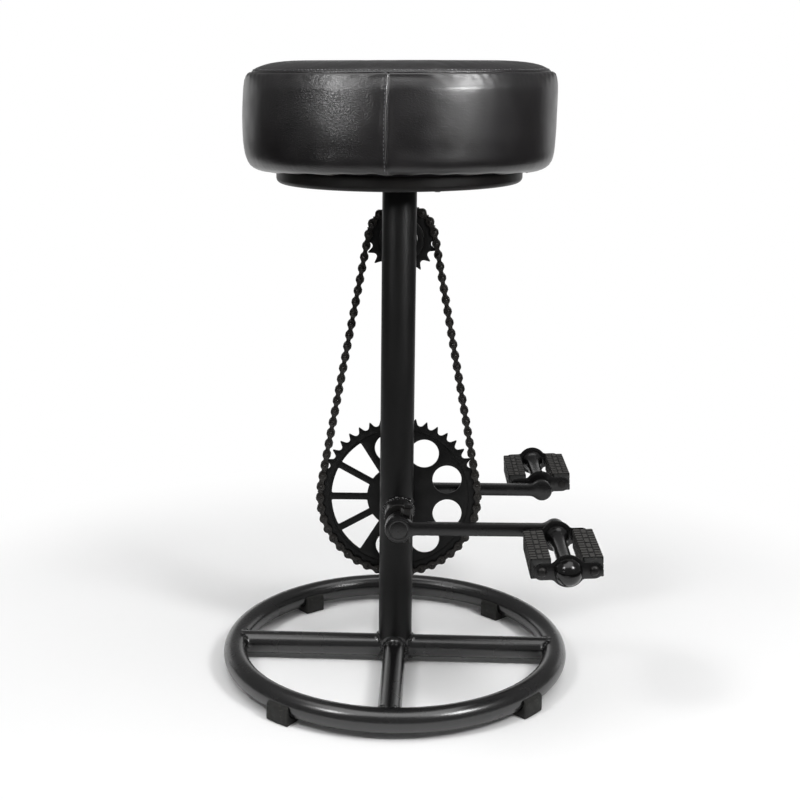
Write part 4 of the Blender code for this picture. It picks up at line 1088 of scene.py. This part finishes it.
class STOOL_OT_bracket(bpy.types.Operator):
    """Bottom bracket, sprocket axle and their small turned parts"""
    bl_idname = "stool.bracket"
    bl_label = "Bearings and axles"

    def execute(self, context):
        at_crank = about_y(CRANK)
        shell = sleeve(SHELL_BORE, SHELL_RADIUS, SHELL_FRONT, SHELL_REAR)
        turned("bracket_tube", shell, 96, at_crank, SATIN, "stand", "bracket_shell", soft=0.0008)
        bore = SPINDLE_RADIUS + GAP
        for name, way in SIDES:
            face = SHELL_FRONT if way < 0 else SHELL_REAR
            outer = face + way * CUP_RIM
            shoulder = face + way * GAP
            inner = face - way * CUP_DEPTH
            cup = [(bore, outer), (SHELL_RADIUS, outer), (SHELL_RADIUS, shoulder), (CUP_BODY, shoulder),
                   (CUP_BODY, inner), (bore, inner)]
            turned(f"{name}_bearing_cup", cup, 72, at_crank, OXIDE, "stand", f"{name}_cup", soft=0.0006)
        end = [(0, 0.0016), (0.0014, 0.0002), (0.0072, 0.0), (SPINDLE_RADIUS, 0.0010)]
        bar = [(radius, run - CRANK_FACES["front"]) for radius, run in end]
        bar += [(radius, CRANK_FACES["rear"] - run) for radius, run in reversed(end)]
        turned("crank_spindle", bar, 64, at_crank, OXIDE, "crankset", "spindle")

        at_sprocket = about_y(SPROCKET)
        bore = STUB_THREAD + GAP
        front = CHAIN_LINE - CORE_HALF
        core = sleeve(bore, CORE_RADIUS, front, CHAIN_LINE + CORE_HALF)
        turned("freewheel_hub", core, 72, at_sprocket, OXIDE, "stand", "freewheel_core", soft=0.0009)
        low = POST_RADIUS - 0.004
        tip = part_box("stub_axle")[1].y
        axle = [(0, tip), (STUB_THREAD, tip), (STUB_THREAD, front - GAP), (STUB_RADIUS, front - GAP),
                (STUB_RADIUS, low), (0, low)]
        turned("sprocket_stub", axle, 64, at_sprocket, SATIN, "stand", "stub_axle", soft=0.0008)
        washer = sleeve(bore, WASHER_RADIUS, *[corner.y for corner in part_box("axle_washer")])
        turned("stub_washer", washer, 64, at_sprocket, OXIDE, "stand", "axle_washer", soft=0.0004)
        low, high = [corner.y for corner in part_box("axle_nut")]
        hexagon = [circle(NUT_ACROSS / math.sqrt(3), 6), circle(bore, 36)]
        piece("stub_nut", plate(hexagon, low, high, 0.0006, flat_xz(SPROCKET)), OXIDE, "stand", "axle_nut")
        return {"FINISHED"}


# Cranks and pedals

def crank_outline():
    """Boss, straight arm and eye, blended with fillets; u runs along the crank."""
    lift = CRANK_ARM / 2 + CRANK_FILLET
    boss_x = math.sqrt((BOSS_RADIUS + CRANK_FILLET) ** 2 - lift ** 2)
    eye_x = CRANK_LENGTH - math.sqrt((EYE_RADIUS + CRANK_FILLET) ** 2 - lift ** 2)
    boss_angle = math.atan2(lift, boss_x)
    eye_angle = math.atan2(lift, CRANK_LENGTH - eye_x)
    points = arc((0, 0), BOSS_RADIUS, math.tau - boss_angle, boss_angle, 40)
    points += arc((boss_x, lift), CRANK_FILLET, boss_angle + math.pi, 1.5 * math.pi, 8)[1:]
    points += arc((eye_x, lift), CRANK_FILLET, 1.5 * math.pi, math.tau - eye_angle, 8)
    points += arc((CRANK_LENGTH, 0), EYE_RADIUS, math.pi - eye_angle, eye_angle - math.pi, 36)[1:]
    points += arc((eye_x, -lift), CRANK_FILLET, eye_angle, math.pi / 2, 8)[1:]
    points += arc((boss_x, -lift), CRANK_FILLET, math.pi / 2, math.pi - boss_angle, 8)[:-1]
    return points


class STOOL_OT_cranks(bpy.types.Operator):
    """Two cranks with their bosses and eyes"""
    bl_idname = "stool.cranks"
    bl_label = "Cranks"

    def execute(self, context):
        for name, way in SIDES:
            face = way * CRANK_FACES[name]
            inner = CRANK_STARTS[name]
            arm = plate([crank_outline()], face - way * CRANK_THICKNESS, face, 0.0018, flat_xz(CRANK), 3)
            boss = [(0.0083, inner), (0.0140, inner)]
            if name == "rear":
                step = TOOTH_FAR + GAP
                boss = [(0.0083, inner), (0.0130, inner), (0.0130, step), (0.0180, step),
                        (0.0180, step + 0.008), (0.0140, step + 0.008)]
            for radius, run in ((0.0140, -0.004), (0.0137, -0.0022), (0.0131, -0.0009), (0.0123, 0.0001),
                                (0.0113, 0.0004), (0.0094, 0.0004), (0.0083, -0.0008)):
                boss.append((radius, face + way * run))
            hub = lathe(softened(boss, 0.0008), 72, about_y(CRANK))
            piece(f"{name}_crank_arm", joined(arm, hub), SATIN, "crankset", f"{name}_crank")
        return {"FINISHED"}


def pedal_plate_outline():
    """Bar with round ends and a round bulge at its middle, blended with fillets."""
    lift = PLATE_HALF + PLATE_FILLET
    blend = math.sqrt((PLATE_BULGE + PLATE_FILLET) ** 2 - lift ** 2)
    turn = math.atan2(lift, blend)
    quarter = arc((BLOCK_SPACING / 2, 0), PLATE_HALF, 0.0, math.pi / 2, 8)
    quarter += arc((blend, lift), PLATE_FILLET, 1.5 * math.pi, math.pi + turn, 6)
    quarter += arc((0, 0), PLATE_BULGE, turn, math.pi / 2, 8)[1:]
    upper = quarter + [(-u, v) for u, v in reversed(quarter[:-1])]
    return upper + [(u, -v) for u, v in reversed(upper[1:-1])]


def block_lines(x, near, far, place):
    """Lines along a rubber block's skin, drawn in towards both ends."""
    half = BLOCK_HALF
    stops = []
    for share, drop in ((0.0, 1.25), (0.08, 1.0), (0.35, 0.58), (0.7, 0.16), (1.0, 0.0)):
        stops.append((share * BLOCK_SLOPE, drop * BLOCK_SLOPE_DROP))
    step = math.copysign(1.0, far - near)
    runs = [(near + step * run, drop) for run, drop in stops]
    runs += [(far - step * run, drop) for run, drop in reversed(stops)]
    lines = []
    for u, v in softened([(-half, -half), (half, -half), (half, half), (-half, half)], 0.0016):
        lines.append([place(x + u * (1 - 0.5 * drop / half), v * (1 - drop / half), run)
                      for run, drop in runs])
    return lines


def tread_points(near, far, x, place):
    """Places of the edge ribs and of the middle bricks on a block's four faces."""
    half = BLOCK_HALF
    middle = (near + far) / 2
    ribs = [(side * 0.0066, middle + (number - 5.5) * TREAD_PITCH)
            for number in range(12) for side in (-1, 1)]
    bricks = [(0.0, middle + (number - 2.5) * 2 * TREAD_PITCH) for number in range(6)]
    spots = {}
    for label, marks in (("rib", ribs), ("brick", bricks)):
        spots[label, "flat"] = [place(x + u, side * half, run) for u, run in marks for side in (-1, 1)]
        spots[label, "upright"] = [place(x + side * half, u, run) for u, run in marks for side in (-1, 1)]
    return spots


class STOOL_OT_pedals(bpy.types.Operator):
    """Two rubber-block pedals on their axles"""
    bl_idname = "stool.pedals"
    bl_label = "Pedals"

    def execute(self, context):
        for name, way in SIDES:
            self.build(name, way)
        return {"FINISHED"}

    def build(self, name, way):
        """One pedal; runs are measured out from the crank's face."""
        body = f"{name}_pedal"
        stand = Matrix.Translation(PEDAL) @ Matrix.Rotation(PEDAL_TILTS[name], 4, "Y")
        inner = PEDAL_STANDOFF
        near = inner + PLATE_THICKNESS + GAP
        far = near + BLOCK_LENGTH
        outer = far + GAP
        face = outer + PLATE_THICKNESS
        base = face + GAP

        def out(distance):
            return way * (CRANK_FACES[name] + distance)

        def flat(u, v, depth):
            return stand @ Vector((u, depth, v))

        def spun(label, points, sides, rider, finish, node, x=0.0, soft=0.0):
            profile = [(radius, out(run)) for radius, run in points]
            upright = about_y(Vector((x, 0.0, 0.0)))

            def place(*spot):
                return stand @ Vector(upright(*spot))

            turned(f"{name}_{label}", profile, sides, place, finish, rider, f"{body}_{node}", soft=soft)

        for side, start in (("inner", inner), ("outer", outer)):
            loops = [pedal_plate_outline(), circle(AXLE_BORE, 32)]
            bar = plate(loops, out(start), out(start + PLATE_THICKNESS), 0.0009, flat, 3)
            piece(f"{name}_{side}_cage_plate", bar, SATIN, body, f"{body}_{side}_plate")
        tube = [(0.0121, 0.0), (0.0122, 0.0016), (0.0120, 0.0034), (0.0115, 0.0050), (0.0107, 0.0063),
                (0.0099, 0.0073), (0.0092, 0.0085), (0.0087, 0.0102), (0.0083, 0.0135), (0.0079, 0.021),
                (0.0077, 0.030)]
        barrel = [(r, near + run) for r, run in tube] + [(r, far - run) for r, run in reversed(tube)]
        spun("hourglass_barrel", barrel + [(AXLE_BORE, far), (AXLE_BORE, near)], 64, body, SATIN, "barrel")
        cap = [(0, base + DOME_HEIGHT)]
        for k in range(1, 21):
            angle = math.pi / 2 * k / 20
            cap.append((DOME_RADIUS * math.sin(angle), base + 0.001 + 0.014 * math.cos(angle)))
        cap += [(DOME_RADIUS, base), (0.008, base), (0.008, base + 0.0053), (0, base + 0.0053)]
        spun("cap_dome", cap, 72, body, GLOSS, "dome_cap")
        axle = [(0, -0.0115), (0.0058, -0.0115), (0.0058, GAP), (0.0075, GAP), (0.0075, inner - GAP),
                (0.0050, inner - GAP), (0.0050, face + 0.0047), (0, face + 0.0047)]
        spun("axle_pin", axle, 48, "crankset", OXIDE, "axle", soft=0.0006)
        bolt = [(0, face + 0.0036), (0.0024, face + 0.0032), (0.0042, face + 0.0021), (0.0051, face + 0.0004),
                (0.0051, base), (0.0025, base), (0.0025, inner - GAP), (0.0045, inner - GAP),
                (0.0042, inner - 0.0014), (0.0020, inner - 0.0018), (0, inner - 0.0018)]
        for side, x in (("left", -BLOCK_SPACING / 2), ("right", BLOCK_SPACING / 2)):
            block = self.block(x, out(near), out(far), flat, stand, PEDAL_TILTS[name])
            # The block's body and the treads' sides carry the darker rubber as painted shade; the treads' outer
            # faces carry the paler rubber as dust and painted light
            tread = piece(f"{name}_{side}_tread_block", block, PEDAL_RUBBER_PAINTED_SHADE, body, f"{body}_{side}_block",
                          smooth=30)
            tread.data.materials.append(coated(TREAD_RUBBER_DUST_AND_PAINTED_LIGHT))
            spun(f"{side}_tie_screw", bolt, 36, body, OXIDE, f"{side}_tie_bolt", x)

    def block(self, x, near, far, flat, stand, tilt):
        """Rubber block with its tread; the outer faces of the tread have the second material, paler with dust and
        painted light, and the rest has the first, darker with painted shade.
        """
        tree = geometry_tree(bars_on_points, (
            ("Bar Size", "Vector", (0.007, 0.0017, 0.0012)), ("Turn", "Rotation", None)), False)
        parts = [(new_object("block", skin_of(block_lines(x, near, far, flat))), None)]
        for (label, lie), spots in tread_points(near, far, x, flat).items():
            size = Vector((*TREAD_SIZES[label], 2 * TREAD))
            if lie == "upright":
                size = Vector((size.z, size.y, size.x))
            values = {"Bar Size": size, "Turn": Euler((0, tilt, 0)), "Material": coated(TREAD_RUBBER_DUST_AND_PAINTED_LIGHT)}
            outward = stand.to_3x3() @ Vector((lie == "upright", 0, lie == "flat"))
            parts.append((grown("tread", wire(spots), tree, values), outward))
        block = bmesh.new()
        for part, outward in parts:
            block.from_mesh(part.data)
            for skin in block.faces:
                if not skin.tag:
                    skin.material_index = int(outward is not None and abs(skin.normal.dot(outward)) > 0.7)
                skin.tag = True
            bpy.data.objects.remove(part)
        return block


class STOOL_OT_fasteners(bpy.types.Operator):
    """Finishes of the solids that show as they are"""
    bl_idname = "stool.fasteners"
    bl_label = "Fasteners and hidden boards"

    def execute(self, context):
        finishes = {finish.slot: coated(finish) for finish in (SATIN, OXIDE, PLY)}
        slots = {part["node"]: part["material_slot"] for part in frame["record"]["subparts"]}
        for name, node in frame["nodes"].items():
            if node.hide_render:
                continue
            node.data.materials.clear()
            node.data.materials.append(finishes[slots[name]])
        return {"FINISHED"}


# Stage

def seen(tree, *rays):
    """Factor that is 1 for rays of these kinds."""
    path = add_node(tree, "ShaderNodeLightPath")
    factor = 0.0
    for ray in rays:
        factor = add_node(tree, MATH, {0: factor, 1: path.outputs[ray]}, operation="MAXIMUM")
    return factor


def glowing(material, tree, shader, factor):
    """Let a shader give way to plain white by a factor."""
    glow = add_node(tree, "ShaderNodeEmission", {"Color": (1, 1, 1, 1), "Strength": 1.0})
    mixed = add_node(tree, "ShaderNodeMixShader", {0: factor, 1: shader, 2: glow})
    feed(tree, tree.nodes["Material Output"], {"Surface": mixed})
    return material


class STOOL_OT_stage(bpy.types.Operator):
    """White floor and backdrop, soft lamps and the camera"""
    bl_idname = "stool.stage"
    bl_label = "Stage"

    def execute(self, context):
        sizes = context.scene.stool_stage
        self.floor(sizes)
        self.backdrop(sizes)
        for name, power, size, turn, rise, spread, aim in (
                ("left_softbox", sizes.left_power, (0.4, 0.4), -50, 45, 120, 0.20),
                ("right_softbox", sizes.right_power, (0.5, 0.5), 51, 43, 120, 0.20),
                ("left_strip", sizes.left_strip, (1.3, 0.5), -46, 14, 16, 0.66),
                ("right_strip", sizes.right_strip, (1.6, 0.5), 46, 14, 16, 0.66),
                ("ceiling", sizes.top_power, (2.8, 2.2), 0, 80, 150, 0.20)):
            self.lamp(name, power, size, math.radians(turn), math.radians(rise), math.radians(spread), aim)
        world = bpy.data.worlds.new("studio")
        context.scene.world = world
        world.use_nodes = True
        tree = world.node_tree
        straight = seen(tree, "Is Camera Ray")
        level = add_node(tree, MATH, {0: straight, 1: 1.0 - sizes.ambient, 2: sizes.ambient},
                         operation="MULTIPLY_ADD")
        feed(tree, tree.nodes["Background"], {"Color": (1, 1, 1, 1), "Strength": level})
        camera = bpy.data.cameras.new("camera")
        camera.sensor_width = 36.0
        camera.lens = sizes.lens
        camera.shift_y = sizes.shift
        holder = linked("camera", camera)
        holder.location = (POST.x + 0.0015, -1.4315, 0.6642)
        pitch = Matrix.Rotation(math.radians(90) - sizes.pitch, 3, "X")
        holder.rotation_euler = (pitch @ Matrix.Rotation(sizes.roll, 3, "Z")).to_euler()
        context.scene.camera = holder
        context.scene.view_settings.view_transform = "Standard"
        return {"FINISHED"}

    def floor(self, sizes):
        """White paper that keeps the shadow and fades to plain white; in front and at the sides it ends in dark
        grey painted shade, which reflections see.
        """
        bm = bmesh.new()
        bmesh.ops.create_circle(bm, cap_ends=True, radius=30.0, segments=96)
        material, tree, shader, coords = start_material("white_studio_paper", {
            "Roughness": 0.9, "Specular IOR Level": 0.0})
        axes = add_node(tree, "ShaderNodeSeparateXYZ", {"Vector": coords}).outputs
        aside = add_node(tree, MATH, {0: axes["X"]}, operation="ABSOLUTE")
        deep = add_node(tree, MATH, {0: axes["Y"], 1: 0.6}, operation="MULTIPLY")
        wedge = add_node(tree, MATH, {0: deep, 1: aside}, operation="SUBTRACT")
        away = add_node(tree, VECTOR, {0: coords}, operation="LENGTH")
        ends = ((axes["Y"], -0.65, -0.4), (wedge, -0.95, -0.7), (wedge, -0.8, -0.45), (away, 0.35, 0.75))
        front, sides, back, fade = [
            add_node(tree, RANGE, {"Value": value, "From Min": low, "From Max": high},
                     interpolation_type="SMOOTHSTEP") for value, low, high in ends]
        mirrors = seen(tree, "Is Camera Ray", "Is Glossy Ray", "Is Transmission Ray")
        paper, behind, straight = [add_node(tree, MATH, {0: first, 1: second}, operation="MULTIPLY")
                                   for first, second in ((front, sides), (fade, back),
                                                         (fade, seen(tree, "Is Camera Ray")))]
        mirrored = add_node(tree, MATH, {0: behind, 1: mirrors}, operation="MULTIPLY")
        factor = add_node(tree, MATH, {0: mirrored, 1: straight}, operation="MAXIMUM")
        # Beyond the paper, in front and at the sides, the floor is painted dark grey: painted shade of the unlit
        # room, seen in reflections
        paper_and_painted_shade = add_node(tree, MIX, {"Factor": paper, "A": srgb("#303030"), "B": sizes.floor_colour},
                         data_type="RGBA")
        feed(tree, shader, {"Base Color": paper_and_painted_shade})
        new_object("floor", bm, glowing(material, tree, shader, factor))

    def backdrop(self, sizes):
        """White wall round the back and sides."""
        bm = bmesh.new()
        points = arc((0, 0), 5.0, math.radians(38), math.radians(142), 48)
        lower, upper = [[bm.verts.new((x, y, height)) for x, y in points] for height in (-0.001, 1.3)]
        for i in range(len(points) - 1):
            bm.faces.new((lower[i], lower[i + 1], upper[i + 1], upper[i]))
        material, tree, shader, _ = start_material("white_backdrop", {
            "Roughness": 0.9, "Base Color": sizes.floor_colour})
        factor = seen(tree, "Is Camera Ray", "Is Glossy Ray", "Is Transmission Ray")
        new_object("backdrop", bm, glowing(material, tree, shader, factor))

    def lamp(self, name, power, size, turn, rise, spread, aim):
        """Soft lamp with a grid, aimed at a height of the post; turn runs from the camera to the right."""
        light = bpy.data.lights.new(name, "AREA")
        light.shape = "RECTANGLE"
        light.size, light.size_y = size
        light.energy = power
        light.spread = spread
        back = Vector((math.sin(turn) * math.cos(rise), -math.cos(turn) * math.cos(rise), math.sin(rise)))
        holder = linked(name, light)
        holder.location = Vector((POST.x, 0.0, aim)) + back * 2.2
        holder.rotation_euler = (-back).to_track_quat("-Z", "Y").to_euler()


# Settings and panel

def number(name, description, default, **rest):
    return FloatProperty(name=name, description=description, default=default, **rest)


class StoolSeatSettings(bpy.types.PropertyGroup):
    stitch_pitch: number("Stitch pitch", "From one stitch to the next", 0.004, unit="LENGTH")
    stitch_length: number("Stitch length", "Length of one stitch", 0.0026, unit="LENGTH")
    thread: number("Thread", "Thickness of the thread", 0.0007, unit="LENGTH")
    seam_stitch_offset: number("Stitch offset", "From the side seam to its stitches", 0.0022, unit="LENGTH")


class StoolSteelSettings(bpy.types.PropertyGroup):
    fillet: number("Weld fillet", "Reach of a weld fillet", 0.006, unit="LENGTH")
    bead: number("Weld bead", "Thickness of a weld bead", 0.0045, unit="LENGTH")


class StoolStageSettings(bpy.types.PropertyGroup):
    lens: number("Lens", "Focal length in millimetres", 60.69)
    shift: number("Shift", "Upward shift of the camera's frame", -0.1275)
    pitch: number("Pitch", "How far the camera looks down", math.radians(9.9), subtype="ANGLE")
    roll: number("Roll", "Turn of the camera about its view", math.radians(0.617), subtype="ANGLE")
    left_power: number("Left lamp", "Power of the left lamp in watts", 4.4)
    right_power: number("Right lamp", "Power of the right lamp in watts", 8.5)
    left_strip: number("Left strip", "Power of the low left lamp in watts", 0.85)
    right_strip: number("Right strip", "Power of the low right lamp in watts", 2.3)
    top_power: number("Top lamp", "Power of the top lamp in watts", 28)
    ambient: number("Ambient", "Strength of the room light", 0.21)
    floor_colour: FloatVectorProperty(name="Floor colour", description="Colour of floor and backdrop",
                                      subtype="COLOR", size=4, default=srgb("#fafafa"))


SETTINGS = {"stool_seat": StoolSeatSettings, "stool_steel": StoolSteelSettings,
            "stool_stage": StoolStageSettings}
OPERATORS = (STOOL_OT_base, STOOL_OT_feet, STOOL_OT_seat, STOOL_OT_chain, STOOL_OT_wheels, STOOL_OT_bracket,
             STOOL_OT_cranks, STOOL_OT_pedals, STOOL_OT_fasteners, STOOL_OT_stage)


class STOOL_PT_panel(bpy.types.Panel):
    """Sidebar panel with the stool's settings and operators"""
    bl_idname = "STOOL_PT_panel"
    bl_label = "Stool"
    bl_space_type = "VIEW_3D"
    bl_region_type = "UI"
    bl_category = "Stool"

    def draw(self, context):
        for name, group in SETTINGS.items():
            for key in group.__annotations__:
                self.layout.prop(getattr(context.scene, name), key)
        for operator in OPERATORS:
            self.layout.operator(operator.bl_idname)


def register():
    for name, group in SETTINGS.items():
        bpy.utils.register_class(group)
        setattr(bpy.types.Scene, name, PointerProperty(type=group))
    for item in (*OPERATORS, STOOL_PT_panel):
        bpy.utils.register_class(item)


def unregister():
    for item in (STOOL_PT_panel, *reversed(OPERATORS)):
        bpy.utils.unregister_class(item)
    for name, group in SETTINGS.items():
        delattr(bpy.types.Scene, name)
        bpy.utils.unregister_class(group)


def main():
    register()
    for operator in OPERATORS:
        group, name = operator.bl_idname.split(".")
        getattr(getattr(bpy.ops, group), name)()


if __name__ == "__main__":
    main()
